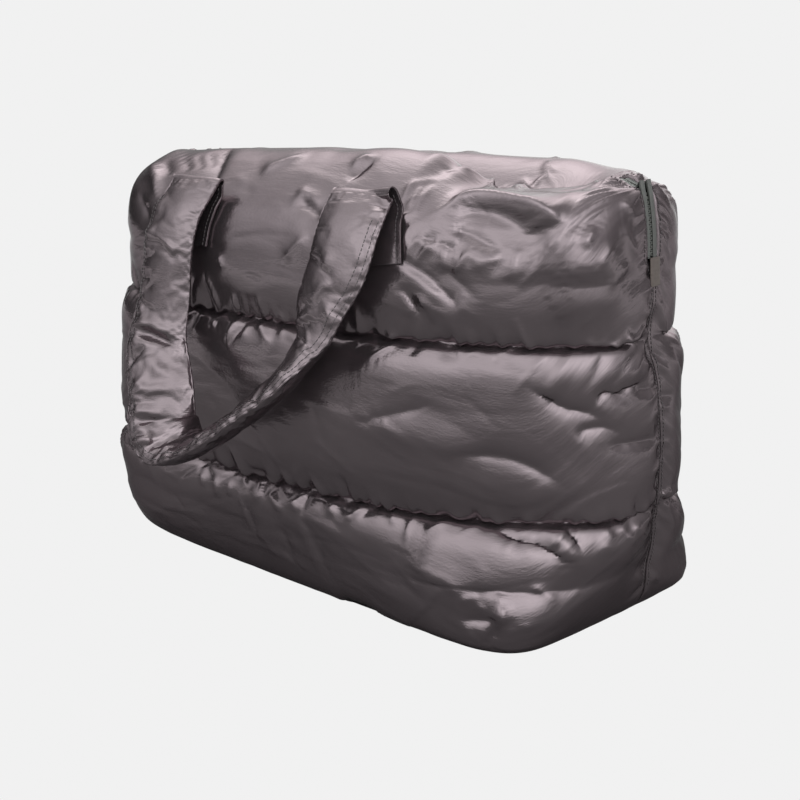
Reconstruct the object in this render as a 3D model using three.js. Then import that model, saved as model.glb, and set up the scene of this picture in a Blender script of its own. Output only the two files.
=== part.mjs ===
import * as THREE from 'three';

// A quilted puffer weekend bag, standing, with its zip closed.
// Millimetres, +Z up. The zip runs along X, the front faces -Y and the base lies on Z = 0.

const seamGap = 0.3;
const zipHalfWidth = 9;
const zipFoot = 292;
const zipFootBlend = 12;
const tapeThickness = 1.4;
const tapeDepth = 2;
const coilHalfWidth = 2.1;
const coilThickness = 2.6;
const tabLow = 284;
const tabHigh = 306;
const tabHalfWidth = 7;
const tabThickness = 2.2;
const sliderWidth = 8;
const sliderHeight = 324;
const sliderReach = 9;
const sideWall = 4;
const sideWallReach = 45;
const sidePinch = 5;
const gatherDepth = 1.6;
const gatherPitch = 47;
const gatherReach = 26;
const strapWidth = 58;
const strapThickness = 18;
const strapSides = 10;
const strapShellTop = 346;
const slopeStep = 12;
const sewnReach = 8;
const baseRows = 8;
const columns = 50;

// Horizontal sections of the shell from the bottom seam up to the zip. The squareness columns
// are superellipse powers for the front's left and right ends and for the back's right end.
const sections = [
  { at: 'bottomSeam', z: 0, halfLength: 172, halfDepth: 0.15, left: 8, right: 8, back: 8, wall: 9 },
  { at: 'baseInner', z: 0, halfLength: 200, halfDepth: 52, left: 8, right: 8, back: 8, wall: 11 },
  { at: 'baseEdge', z: 0, halfLength: 230, halfDepth: 101, left: 8, right: 8, back: 8, wall: 13 },
  { at: 'baseRound', z: 11, halfLength: 243, halfDepth: 119, left: 8, right: 8, back: 8, wall: 18 },
  { at: 'lowerBelly', z: 55, halfLength: 259, halfDepth: 133, left: 5.4, right: 3.4, back: 3.6, wall: 20 },
  { at: 'lowerSeam', z: 105, halfLength: 270, halfDepth: 131, left: 3.7, right: 2.1, back: 2.3, wall: 4 },
  { at: 'middleLow', z: 146, halfLength: 273, halfDepth: 145, left: 3.3, right: 2.1, back: 2.3, wall: 19 },
  { at: 'middleHigh', z: 199, halfLength: 271, halfDepth: 147, left: 3.1, right: 2.1, back: 2.3, wall: 19 },
  { at: 'upperSeam', z: 244, halfLength: 264, halfDepth: 135, left: 3, right: 2, back: 2.3, wall: 4 },
  { at: 'topBelly', z: 289, halfLength: 261, halfDepth: 142, left: 2.9, right: 2.3, back: 2.5, wall: 22 },
  { at: 'shoulder', z: 336, halfLength: 257, halfDepth: 124, left: 3.3, right: 2.6, back: 2.8, wall: 22 },
  { at: 'crest', z: 369, halfLength: 246, halfDepth: 60, left: 3.6, right: 2.8, back: 3, wall: 14 },
  { at: 'zipEdge', z: 338, halfLength: 224, halfDepth: 9, left: 3.6, right: 2.8, back: 3, wall: 4 },
];

// How the soft shell leans at some sections: slant of the right end, extra depth of the front
// towards the right, shift of the right side seam to the back, share of the crest line's height
// that the section takes, and rise of the zip from its middle to its ends.
const leans = [
  { at: 'baseInner', skew: 0.1, splay: 0, turn: 0, crest: 0, ends: 0 },
  { at: 'baseEdge', skew: 0.15, splay: 0.1, turn: 18, crest: 0, ends: 0 },
  { at: 'baseRound', skew: 0.15, splay: 0.1, turn: 30, crest: 0, ends: 0 },
  { at: 'lowerBelly', skew: 0.08, splay: 0.04, turn: 26, crest: 0, ends: 0 },
  { at: 'lowerSeam', skew: 0, splay: 0, turn: 18, crest: 0, ends: 0 },
  { at: 'middleLow', skew: 0, splay: 0, turn: 14, crest: 0, ends: 0 },
  { at: 'middleHigh', skew: 0, splay: 0, turn: 9, crest: 0, ends: 0 },
  { at: 'crest', skew: 0, splay: 0, turn: 0, crest: 1, ends: 0 },
  { at: 'zipEdge', skew: 0, splay: 0, turn: 0, crest: 0, ends: 23 },
];
const level = { skew: 0, splay: 0, turn: 0, crest: 0, ends: 0 };

// Height of the padded crest on both sides of the zip, along the bag.
const crestLine = [
  { x: -246, front: 359, back: 359 },
  { x: -200, front: 370, back: 366 },
  { x: -100, front: 376, back: 370 },
  { x: 0, front: 380, back: 372 },
  { x: 60, front: 383, back: 372 },
  { x: 100, front: 381, back: 372 },
  { x: 122, front: 371, back: 372 },
  { x: 146, front: 355, back: 372 },
  { x: 200, front: 353, back: 367 },
  { x: 246, front: 359, back: 359 },
];
const channels = [
  { from: 'bottomSeam', to: 'lowerSeam', steps: 12 },
  { from: 'lowerSeam', to: 'upperSeam', steps: 8 },
  { from: 'upperSeam', to: 'zipEdge', steps: 12 },
];

// Main dents (depth above zero) and ridges (below zero) of the front, each along a straight line.
const frontFolds = [
  { at: 'topPocket', from: [148, -117, 326], to: [222, -92, 322], width: 19, depth: 13 },
  { at: 'pocketLip', from: [158, -96, 350], to: [216, -80, 348], width: 11, depth: -5 },
  { at: 'dragLine', from: [122, -130, 306], to: [160, -122, 276], width: 13, depth: 5 },
  { at: 'leftCrease', from: [-112, -78, 366], to: [-80, -122, 336], width: 12, depth: 6 },
  { at: 'rightCrease', from: [24, -80, 366], to: [66, -112, 346], width: 12, depth: 5 },
  { at: 'middleSag', from: [40, -147, 205], to: [150, -122, 172], width: 17, depth: 4 },
  { at: 'endFold', from: [206, -92, 218], to: [246, -56, 168], width: 16, depth: 5 },
  { at: 'footFold', from: [176, -116, 92], to: [226, -98, 40], width: 16, depth: 5 },
  { at: 'cornerFold', from: [188, -124, 60], to: [206, -118, 14], width: 14, depth: 4 },
];

// Stations of the strap: place across the bag, height, distance in front of the shell,
// direction of the strap's width, and its thickness.
const strapStations = [
  { at: 'rightEnd', x: 94, z: 300, out: 3.1, across: [1, 0, 0], thick: 4 },
  { at: 'rightSewn', x: 91, z: 318, out: 3.7, across: [1, 0, 0], thick: 4 },
  { at: 'rightHem', x: 88, z: 330, out: 5.3, across: [1, 0, 0], thick: 4 },
  { at: 'rightRise', x: 85, z: 341, out: 7.8, across: [1, 0, 0], thick: 4.5 },
  { at: 'rightFold', x: 82, z: 353, out: 15, across: [1, 0.1, 0], thick: 6 },
  { at: 'rightTop', x: 82, z: 344, out: 22, across: [1, 0.1, 0], thick: 8 },
  { at: 'rightUpper', x: 83, z: 324, out: 21, across: [1, 0.06, 0], thick: 14 },
  { at: 'rightChest', x: 80, z: 300, out: 21, across: [1, 0, 0], thick: 18 },
  { at: 'rightWaist', x: 68, z: 271, out: 26, across: [1, -0.2, 0.05], thick: 18 },
  { at: 'rightTwist', x: 59, z: 241, out: 34, across: [0.9, -0.55, 0.1], thick: 18 },
  { at: 'rightHip', x: 45, z: 213, out: 37, across: [0.7, -0.85, 0.1], thick: 18 },
  { at: 'rightKnee', x: 16, z: 184, out: 43, across: [0.45, -1, 0.05], thick: 18 },
  { at: 'rightFoot', x: -22, z: 156, out: 51, across: [0.2, -1, -0.1], thick: 17 },
  { at: 'loopFoot', x: -57, z: 141, out: 56, across: [-0.25, -1, -0.2], thick: 15 },
  { at: 'leftFoot', x: -75, z: 155, out: 54, across: [-0.8, -0.7, -0.2], thick: 16 },
  { at: 'leftKnee', x: -84, z: 182, out: 46, across: [-1, -0.45, -0.1], thick: 18 },
  { at: 'leftKink', x: -104, z: 218, out: 38, across: [-1, -0.25, 0], thick: 17 },
  { at: 'leftWaist', x: -107, z: 260, out: 29, across: [-1, -0.05, 0], thick: 18 },
  { at: 'leftChest', x: -106, z: 298, out: 22, across: [-1, 0, 0], thick: 18 },
  { at: 'leftUpper', x: -104, z: 324, out: 21, across: [-1, 0.02, 0], thick: 14 },
  { at: 'leftTop', x: -101, z: 344, out: 22, across: [-1, 0.04, 0], thick: 8 },
  { at: 'leftFold', x: -101, z: 353, out: 15, across: [-1, 0.04, 0], thick: 6 },
  { at: 'leftRise', x: -102, z: 341, out: 7.8, across: [-1, 0, 0], thick: 4.5 },
  { at: 'leftHem', x: -103, z: 330, out: 5.3, across: [-1, 0, 0], thick: 4 },
  { at: 'leftSewn', x: -105, z: 318, out: 3.7, across: [-1, 0, 0], thick: 4 },
  { at: 'leftEnd', x: -106, z: 300, out: 3.1, across: [-1, 0, 0], thick: 4 },
];

const nylon = { color: 0x6b6165, roughness: 0.42, metalness: 0.3 };
const tapeCloth = { color: 0x5a5752, roughness: 0.7, metalness: 0 };
const coilPlastic = { color: 0x4b4744, roughness: 0.5, metalness: 0 };
const sliderMetal = { color: 0x6a6663, roughness: 0.35, metalness: 0.9 };

const mix = THREE.MathUtils.lerp;
const smooth = THREE.MathUtils.smoothstep;

function leanOf(section) {
  return leans.find((lean) => lean.at === section.at) ?? level;
}

// The rows of a panel: the sections, joined by a smooth curve inside each quilted channel,
// with a crease at each seam.
function shellRows() {
  const rows = [];
  for (const channel of channels) {
    const first = sections.findIndex((section) => section.at === channel.from);
    const last = sections.findIndex((section) => section.at === channel.to);
    const points = [];
    for (let i = first; i <= last; i += 1) {
      points.push(new THREE.Vector3(sections[i].halfLength, sections[i].halfDepth, sections[i].z));
    }
    const curve = new THREE.CatmullRomCurve3(points);
    for (let step = rows.length === 0 ? 0 : 1; step <= channel.steps; step += 1) {
      const place = (step / channel.steps) * (last - first);
      const low = first + Math.min(Math.floor(place), last - first - 1);
      const part = place - (low - first);
      const point = curve.getPoint(step / channel.steps);
      const row = { halfLength: point.x, halfDepth: point.y, z: Math.max(point.z, 0) };
      for (const column of ['left', 'right', 'back', 'wall']) {
        row[column] = mix(sections[low][column], sections[low + 1][column], part);
      }
      for (const column of Object.keys(level)) {
        const [below, above] = [leanOf(sections[low]), leanOf(sections[low + 1])];
        row[column] = mix(below[column], above[column], smooth(part, 0, 1));
      }
      row.at = part === 0 || part === 1 ? sections[low + part].at : '';
      row.seam = step === channel.steps && channel.to !== 'zipEdge';
      rows.push(row);
    }
  }
  return rows;
}

function rowOf(rows, name) {
  return rows.findIndex((row) => row.at === name);
}

function edgeDistance(z) {
  return mix(seamGap / 2, zipHalfWidth, THREE.MathUtils.clamp((z - zipFoot) / zipFootBlend, 0, 1));
}

// One half section from the left edge round the outside to the right edge, in even steps.
function sectionLine(row, rightPower) {
  const fine = 400;
  const edge = edgeDistance(row.z);
  const line = [];
  for (let i = 0; i <= fine; i += 1) {
    const angle = Math.PI * (i / fine - 0.5);
    const power = 2 / (angle < 0 ? row.left : rightPower);
    const side = Math.sign(angle) * Math.abs(Math.sin(angle)) ** power;
    const bulge = i === 0 || i === fine ? 0 : Math.cos(angle) ** power;
    line.push(new THREE.Vector2(row.halfLength * side, edge + Math.max(row.halfDepth - edge, 0) * bulge));
  }
  const lengths = [0];
  for (let i = 1; i <= fine; i += 1) {
    lengths.push(lengths[i - 1] + line[i].distanceTo(line[i - 1]));
  }
  const even = [];
  let k = 0;
  for (let j = 0; j <= columns; j += 1) {
    const target = (lengths[fine] * j) / columns;
    while (k < fine - 1 && lengths[k + 1] < target) {
      k += 1;
    }
    const part = (target - lengths[k]) / (lengths[k + 1] - lengths[k]);
    const point = line[k].clone().lerp(line[k + 1], Math.min(part, 1));
    even.push({ point, along: target, length: lengths[fine] });
  }
  return even;
}

// Height of the crest above its plain section, at a place along the bag.
function crestRise(x, side) {
  const column = side < 0 ? 'front' : 'back';
  const points = crestLine.map((spot) => new THREE.Vector2(spot.x, spot[column]));
  const k = Math.min(Math.max(points.findIndex((point) => point.x >= x), 1), points.length - 1);
  const part = THREE.MathUtils.clamp((x - points[k - 1].x) / (points[k].x - points[k - 1].x), 0, 1);
  const plain = sections.find((section) => section.at === 'crest').z;
  return mix(points[k - 1].y, points[k].y, smooth(part, 0, 1)) - plain;
}

// The smooth outside of the front (side -1) or back (side 1) as rows of points.
function shellGrid(rows, side) {
  return rows.map((row) => {
    const edge = edgeDistance(row.z);
    const line = sectionLine(row, side < 0 ? row.right : row.back);
    return line.map((spot) => {
      const reach = Math.min(spot.along, spot.length - spot.along);
      const below = 1 - smooth(row.z, zipFoot - 45, zipFoot - 15);
      const pinch = sidePinch * Math.exp(-((reach / 12) ** 2)) * below * smooth(row.z, 20, 60);
      const share = spot.point.x / row.halfLength;
      const end = Math.max(share, 0) ** 2;
      const plump = (spot.point.y - edge) / Math.max(row.halfDepth - edge, 1e-6);
      const splay = side < 0 ? 1 + row.splay * share : 1;
      const y = side * spot.point.y * splay + row.turn * end * (1 - plump);
      const x = spot.point.x - Math.sign(share) * pinch + row.skew * y * end;
      const z = row.z + row.ends * Math.abs(share) ** 3 + row.crest * crestRise(spot.point.x, side);
      return { point: new THREE.Vector3(x, y, z), reach, along: spot.along };
    });
  });
}

function gridNormal(grid, i, j, side) {
  const up = grid[Math.min(i + 1, grid.length - 1)][j].point.clone();
  up.sub(grid[Math.max(i - 1, 0)][j].point);
  const along = grid[i][Math.min(j + 1, columns)].point.clone();
  along.sub(grid[i][Math.max(j - 1, 0)].point);
  const normal = side < 0 ? along.cross(up) : up.cross(along);
  if (j === 0 || j === columns) {
    normal.y = 0;
  }
  return normal.normalize();
}

function foldDepth(folds, point) {
  let depth = 0;
  for (const fold of folds) {
    const line = new THREE.Line3(new THREE.Vector3(...fold.from), new THREE.Vector3(...fold.to));
    const near = line.closestPointToPoint(point, true, new THREE.Vector3());
    depth += fold.depth * Math.exp(-((near.distanceTo(point) / fold.width) ** 2));
  }
  return depth;
}

// Small gathers beside each seam, which fade out into the channel.
function gatherHeight(rows, grid, i, j) {
  let height = 0;
  rows.forEach((row, k) => {
    if (row.seam && k !== i) {
      const away = grid[i][j].point.distanceTo(grid[k][j].point);
      height += gatherDepth * Math.exp(-((away / gatherReach) ** 2));
    }
  });
  return height * Math.cos((2 * Math.PI * grid[i][j].along) / gatherPitch);
}

// A padded half shell: fine quilted outside, plain inside, closed along its edges.
function panelGeometry(rows, side, folds) {
  const grid = shellGrid(rows, side);
  const last = rows.length - 1;
  const points = [];
  const outside = grid.map((line, i) => line.map((spot, j) => {
    const normal = gridNormal(grid, i, j, side);
    const inner = smooth(spot.reach, 4, 32) * smooth(i, 2, 5) * smooth(last - i, 0, 2);
    const push = (gatherHeight(rows, grid, i, j) - foldDepth(folds, spot.point)) * inner;
    points.push(spot.point.clone().addScaledVector(normal, push));
    return points.length - 1;
  }));
  const inside = [];
  for (let i = 0; i <= last; i += 2) {
    const line = [];
    for (let j = 0; j <= columns; j += 2) {
      const padding = smooth(grid[i][j].reach, 2, sideWallReach);
      const wall = mix(Math.min(sideWall, rows[i].wall), rows[i].wall, padding);
      points.push(grid[i][j].point.clone().addScaledVector(gridNormal(grid, i, j, side), -wall));
      line.push(points.length - 1);
    }
    inside.push(line);
  }
  const faces = [];
  addQuads(faces, outside, false);
  addQuads(faces, inside, true);
  const rim = borderLoop(outside);
  const lining = borderLoop(inside);
  lining.forEach((a, k) => {
    const b = lining[(k + 1) % lining.length];
    const [p, q, r] = [rim[2 * k], rim[2 * k + 1], rim[(2 * k + 2) % rim.length]];
    faces.push([q, p, a], [q, a, b], [r, q, b]);
  });
  return solid(points, side < 0 ? faces : faces.map(([a, b, c]) => [a, c, b]));
}

function addQuads(faces, grid, reversed) {
  for (let i = 0; i + 1 < grid.length; i += 1) {
    for (let j = 0; j + 1 < grid[i].length; j += 1) {
      const [a, b, c, d] = [grid[i][j], grid[i][j + 1], grid[i + 1][j + 1], grid[i + 1][j]];
      faces.push(reversed ? [a, c, b] : [a, b, c], reversed ? [a, d, c] : [a, c, d]);
    }
  }
}

function borderLoop(grid) {
  const top = grid.length - 1;
  const end = grid[0].length - 1;
  const loop = [];
  for (let j = 0; j < end; j += 1) {
    loop.push(grid[0][j]);
  }
  for (let i = 0; i < top; i += 1) {
    loop.push(grid[i][end]);
  }
  for (let j = end; j > 0; j -= 1) {
    loop.push(grid[top][j]);
  }
  for (let i = top; i > 0; i -= 1) {
    loop.push(grid[i][0]);
  }
  return loop;
}

function solid(points, faces) {
  const geometry = new THREE.BufferGeometry();
  geometry.setAttribute('position', new THREE.Float32BufferAttribute(points.flatMap((p) => p.toArray()), 3));
  geometry.setIndex(faces.flat());
  geometry.computeVertexNormals();
  return geometry;
}

// Rings of points in order along a bar, closed at both ends.
function ringSolid(rings) {
  const points = rings.flat();
  const sides = rings[0].length;
  const faces = [];
  for (let i = 0; i + 1 < rings.length; i += 1) {
    for (let k = 0; k < sides; k += 1) {
      const [a, b] = [i * sides + k, i * sides + ((k + 1) % sides)];
      faces.push([a, b, b + sides], [a, b + sides, a + sides]);
    }
  }
  const end = (rings.length - 1) * sides;
  for (let k = 1; k + 1 < sides; k += 1) {
    faces.push([0, k + 1, k], [end, end + k, end + k + 1]);
  }
  return solid(points, faces);
}

// How far the shell stands out from the middle plane at a place on its front or back wall.
function shellDepth(grid, side, x, z) {
  const profile = [];
  for (const line of grid.slice(baseRows, grid.length)) {
    const j = Math.max(line.findIndex((spot) => spot.point.x >= x), 1);
    const [a, b] = [line[j - 1].point, line[j].point];
    profile.push(a.clone().lerp(b, (x - a.x) / (b.x - a.x)));
  }
  const k = Math.max(profile.findIndex((point) => point.z >= z), 1);
  const [a, b] = [profile[k - 1], profile[k]];
  return side * mix(a.y, b.y, (z - a.z) / (b.z - a.z));
}

// A padded strap with a rounded flat section, sewn flat at both ends and folded over above them.
function strapGeometry(rows, side) {
  const turn = -side;
  const grid = shellGrid(rows, side);
  const centres = strapStations.map((s) => {
    const x = turn * s.x;
    const shellOut = shellDepth(grid, side, x, Math.min(s.z, strapShellTop));
    return new THREE.Vector3(x, side * (shellOut + s.out), s.z);
  });
  const across = strapStations.map((s) => {
    const x = turn * s.x;
    const height = Math.min(s.z, strapShellTop);
    const after = shellDepth(grid, side, x + slopeStep, height);
    const rise = after - shellDepth(grid, side, x - slopeStep, height);
    const slope = s.out > sewnReach ? 0 : rise / (2 * slopeStep);
    const y = turn * s.across[1] + side * slope * turn * s.across[0];
    return new THREE.Vector3(turn * s.across[0], y, s.across[2]);
  });
  const path = new THREE.CatmullRomCurve3(centres);
  const lean = new THREE.CatmullRomCurve3(across.map((v) => v.normalize()));
  const strapSteps = 2 * (strapStations.length - 1);
  const rings = [];
  for (let step = 0; step <= strapSteps; step += 1) {
    const t = step / strapSteps;
    const place = t * (strapStations.length - 1);
    const low = Math.min(Math.floor(place), strapStations.length - 2);
    const thick = mix(strapStations[low].thick, strapStations[low + 1].thick, place - low);
    const along = path.getTangent(t);
    const flat = along.clone().cross(lean.getPoint(t)).normalize();
    const wide = flat.clone().cross(along).normalize();
    const centre = path.getPoint(t);
    const round = 2 / mix(8, 3, smooth(thick, 4, strapThickness));
    const ring = [];
    for (let k = 0; k < strapSides; k += 1) {
      const angle = (2 * Math.PI * (k + 0.5)) / strapSides;
      const u = Math.sign(Math.cos(angle)) * Math.abs(Math.cos(angle)) ** round;
      const v = Math.sign(Math.sin(angle)) * Math.abs(Math.sin(angle)) ** round;
      const point = centre.clone().addScaledVector(wide, (u * strapWidth) / 2);
      ring.push(point.addScaledVector(flat, (v * thick) / 2));
    }
    rings.push(ring);
  }
  return ringSolid(rings);
}

// The zip's line in the middle plane, from the right foot over the top to the left foot.
function zipLine(rows) {
  const grid = shellGrid(rows, -1);
  const top = grid.length - 1;
  const seam = rowOf(rows, 'upperSeam');
  const foot = zipFoot + zipFootBlend;
  const rise = rows.map((row, i) => i).filter((i) => i > seam && i < top && rows[i].z > foot);
  const line = rise.map((i) => grid[i][columns].point);
  for (let j = columns; j >= 0; j -= 2) {
    line.push(grid[top][j].point);
  }
  rise.reverse().forEach((i) => line.push(grid[i][0].point));
  return line.map((p) => new THREE.Vector2(p.x, p.z));
}

// A bar that follows a line in the middle plane, between two depths under that line.
function lineBar(line, yFrom, yTo, low, high) {
  const rings = line.map((spot, i) => {
    const way = line[Math.min(i + 1, line.length - 1)].clone().sub(line[Math.max(i - 1, 0)]).normalize();
    const out = new THREE.Vector2(way.y, -way.x);
    const place = (y, depth) => new THREE.Vector3(spot.x + out.x * depth, y, spot.y + out.y * depth);
    return [place(yFrom, low), place(yFrom, high), place(yTo, high), place(yTo, low)];
  });
  return ringSolid(rings);
}

// The piece of the shell's end edge between two heights, as a line in the middle plane.
function endLine(rows, sign, low, high) {
  const grid = shellGrid(rows, -1);
  const side = grid.slice(rowOf(rows, 'upperSeam') + 1, rowOf(rows, 'crest') + 1);
  const edge = side.map((line) => line[sign > 0 ? columns : 0].point);
  const line = [];
  for (let step = 0; step <= 3; step += 1) {
    const z = mix(low, high, step / 3);
    const k = Math.min(Math.max(edge.findIndex((p) => p.z >= z), 1), edge.length - 1);
    const part = (z - edge[k - 1].z) / (edge[k].z - edge[k - 1].z);
    line.push(new THREE.Vector2(mix(edge[k - 1].x, edge[k].x, part), z));
  }
  return sign > 0 ? line : line.reverse();
}

// A plain slider seen from its edge, with its pull hanging down the bag's end.
function sliderGeometry() {
  const outline = new THREE.Shape();
  outline.moveTo(0, -8);
  outline.lineTo(3, -8);
  outline.lineTo(3, -34);
  outline.lineTo(5, -34);
  outline.lineTo(5, 8);
  outline.lineTo(0, 8);
  outline.closePath();
  const geometry = new THREE.ExtrudeGeometry(outline, { depth: sliderWidth, bevelEnabled: false });
  return geometry.translate(0, 0, -sliderWidth / 2);
}

const group = new THREE.Group();

function addPiece(name, geometry, look) {
  const mesh = new THREE.Mesh(geometry, new THREE.MeshStandardMaterial(look));
  mesh.name = name;
  group.add(mesh);
  return mesh;
}

const rows = shellRows();
const zip = zipLine(rows);
const tapeLow = -tapeDepth - tapeThickness / 2;
const tapeHigh = -tapeDepth + tapeThickness / 2;
const tapeEdge = zipHalfWidth - seamGap;
const tapeInner = coilHalfWidth + seamGap;

addPiece('front_panel', panelGeometry(rows, -1, frontFolds), nylon);
addPiece('back_panel', panelGeometry(rows, 1, []), nylon);
addPiece('handle_front', strapGeometry(rows, -1), nylon);
addPiece('handle_back', strapGeometry(rows, 1), nylon);
addPiece('zip_tape_front', lineBar(zip, -tapeEdge, -tapeInner, tapeLow, tapeHigh), tapeCloth);
addPiece('zip_tape_back', lineBar(zip, tapeInner, tapeEdge, tapeLow, tapeHigh), tapeCloth);
const coilLow = -tapeDepth - coilThickness / 2;
const coilHigh = coilLow + coilThickness;
addPiece('zip_coil', lineBar(zip, -coilHalfWidth, coilHalfWidth, coilLow, coilHigh), coilPlastic);

for (const [name, sign] of [['zip_end_right', 1], ['zip_end_left', -1]]) {
  const line = endLine(rows, sign, tabLow, tabHigh);
  addPiece(name, lineBar(line, -tabHalfWidth, tabHalfWidth, seamGap, seamGap + tabThickness), tapeCloth);
}

const [sliderTop, , , sliderFoot] = endLine(rows, -1, sliderHeight - sliderReach, sliderHeight + sliderReach);
const slider = addPiece('zip_slider', sliderGeometry(), sliderMetal);
const sliderUp = new THREE.Vector3(sliderTop.x - sliderFoot.x, 0, sliderTop.y - sliderFoot.y).normalize();
const sliderOut = new THREE.Vector3(-sliderUp.z, 0, sliderUp.x);
slider.setRotationFromMatrix(new THREE.Matrix4().makeBasis(sliderOut, sliderUp, new THREE.Vector3(0, 1, 0)));
slider.position.set((sliderTop.x + sliderFoot.x) / 2, 0, sliderHeight);

export default group;
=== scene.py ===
import math
import bpy
import numpy as np
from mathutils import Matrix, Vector


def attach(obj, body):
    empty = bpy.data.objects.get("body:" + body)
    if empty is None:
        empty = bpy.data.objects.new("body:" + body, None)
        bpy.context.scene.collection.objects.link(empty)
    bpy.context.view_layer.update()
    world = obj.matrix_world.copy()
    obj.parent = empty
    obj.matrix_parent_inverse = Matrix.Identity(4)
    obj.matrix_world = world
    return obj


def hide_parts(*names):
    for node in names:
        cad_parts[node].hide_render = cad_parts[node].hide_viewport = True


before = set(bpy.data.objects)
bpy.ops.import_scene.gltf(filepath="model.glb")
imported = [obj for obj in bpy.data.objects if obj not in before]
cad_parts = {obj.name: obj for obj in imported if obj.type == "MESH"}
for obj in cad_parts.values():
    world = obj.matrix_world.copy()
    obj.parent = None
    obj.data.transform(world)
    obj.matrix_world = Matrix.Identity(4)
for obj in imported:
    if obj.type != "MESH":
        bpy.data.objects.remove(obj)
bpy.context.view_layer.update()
bpy.ops.object.select_all(action="DESELECT")
scene = bpy.context.scene
print("frame loaded")

mm = 0.001  # the tables below are in mm
farOff = 500  # sets a point out of the reach of every wrinkle

# the photograph's view, also used to lay folds along lines seen in it
view = {
    "azimuth": 38.75,
    "pitch": 13.65,
    "distance": 1132.7,
    "target": (0, 0, 185),
    "frame": 800,  # pixels across the picture
    "focal": 1250,  # in pixels
    "middle": (385.5, 361.7),
    "sensor": 36,
    "near": 0.05,  # in metres
}


def direction(around, up):
    # around is 0 straight in front of the bag and 90 at its right end
    around, up = math.radians(around), math.radians(up)
    return np.array((math.sin(around) * math.cos(up), -math.cos(around) * math.cos(up), math.sin(up)))


azimuth = math.radians(view["azimuth"])
toCamera = direction(view["azimuth"], view["pitch"])
cameraRight = np.array((math.cos(azimuth), math.sin(azimuth), 0))
cameraUp = np.cross(toCamera, cameraRight)
cameraSpot = np.array(view["target"]) + toCamera * view["distance"]


def toPixels(points):
    away = np.asarray(points) - cameraSpot
    depth = -(away @ toCamera)
    across = view["middle"][0] + view["focal"] * (away @ cameraRight) / depth
    down = view["middle"][1] - view["focal"] * (away @ cameraUp) / depth
    return np.stack([across, down], -1)


# sections of the shell from the bottom seam to the zip, the same as the solids' own
# left, right and back are how square the ends are, steps is the rows up to the next section
sectionColumns = ("at", "z", "halfLength", "halfDepth", "left", "right", "back", "wall", "steps")
sectionTable = [
    ("bottomSeam", 0, 172, 0.15, 8, 8, 8, 9, 3),
    ("baseInner", 0, 200, 52, 8, 8, 8, 11, 4),
    ("baseEdge", 0, 230, 101, 8, 8, 8, 13, 6),
    ("baseRound", 11, 243, 119, 8, 8, 8, 18, 12),
    ("lowerBelly", 55, 259, 133, 5.4, 3.4, 3.6, 20, 15),
    ("lowerSeam", 105, 270, 131, 3.7, 2.1, 2.3, 4, 14),
    ("middleLow", 146, 273, 145, 3.3, 2.1, 2.3, 19, 14),
    ("middleHigh", 199, 271, 147, 3.1, 2.1, 2.3, 19, 14),
    ("upperSeam", 244, 264, 135, 3, 2, 2.3, 4, 14),
    ("topBelly", 289, 261, 142, 2.9, 2.3, 2.5, 22, 14),
    ("shoulder", 336, 257, 124, 3.3, 2.6, 2.8, 22, 14),
    ("crest", 369, 246, 60, 3.6, 2.8, 3, 14, 12),
    ("zipEdge", 338, 224, 9, 3.6, 2.8, 3, 4, 0),
]
channelEnds = (("bottomSeam", "lowerSeam"), ("lowerSeam", "upperSeam"), ("upperSeam", "zipEdge"))
sectionNames = [row[0] for row in sectionTable]
# slant of the right end, extra depth of the front to the right, shift of the side seam,
# share of the crest line, rise of the zip to its ends
leanColumns = ("at", "skew", "splay", "turn", "crest", "ends")
leanTable = [
    ("baseInner", 0.1, 0, 0, 0, 0),
    ("baseEdge", 0.15, 0.1, 18, 0, 0),
    ("baseRound", 0.15, 0.1, 30, 0, 0),
    ("lowerBelly", 0.08, 0.04, 26, 0, 0),
    ("lowerSeam", 0, 0, 18, 0, 0),
    ("middleLow", 0, 0, 14, 0, 0),
    ("middleHigh", 0, 0, 9, 0, 0),
    ("crest", 0, 0, 0, 1, 0),
    ("zipEdge", 0, 0, 0, 0, 23),
]
# height of the crest in front of the zip and behind it
crestTable = [
    (-246, 359, 359),
    (-200, 370, 366),
    (-100, 376, 370),
    (0, 380, 372),
    (60, 383, 372),
    (100, 381, 372),
    (122, 371, 372),
    (146, 355, 372),
    (200, 353, 367),
    (246, 359, 359),
]
shell = {
    "zipHalfWidth": 9,
    "zipFoot": 292,
    "zipFootBlend": 12,
    "endGap": 0.03,  # the sewn halves all but touch
    "sidePinch": 5,
    "pinchReach": 12,
    "pinchFrom": (20, 60),  # heights between which the pinch of the end seam grows and fades
    "pinchTo": (247, 277),
    "sideWall": 4,
    "wallBlend": (2, 45),  # from the end seam to the full padding
    "lying": 0.5,  # lower points lie on the floor
    "columns": 160,
    "samples": 801,
    "liningStep": 4,  # the hidden inside is this much coarser
}


def unit(vectors):
    return vectors / np.maximum(np.linalg.norm(vectors, axis=-1, keepdims=True), 1e-9)


def signPower(values, power):
    return np.sign(values) * np.abs(values) ** power


def smoothStep(x, low, high):
    t = np.clip((np.asarray(x, float) - low) / (high - low), 0, 1)
    return t * t * (3 - 2 * t)


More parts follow.
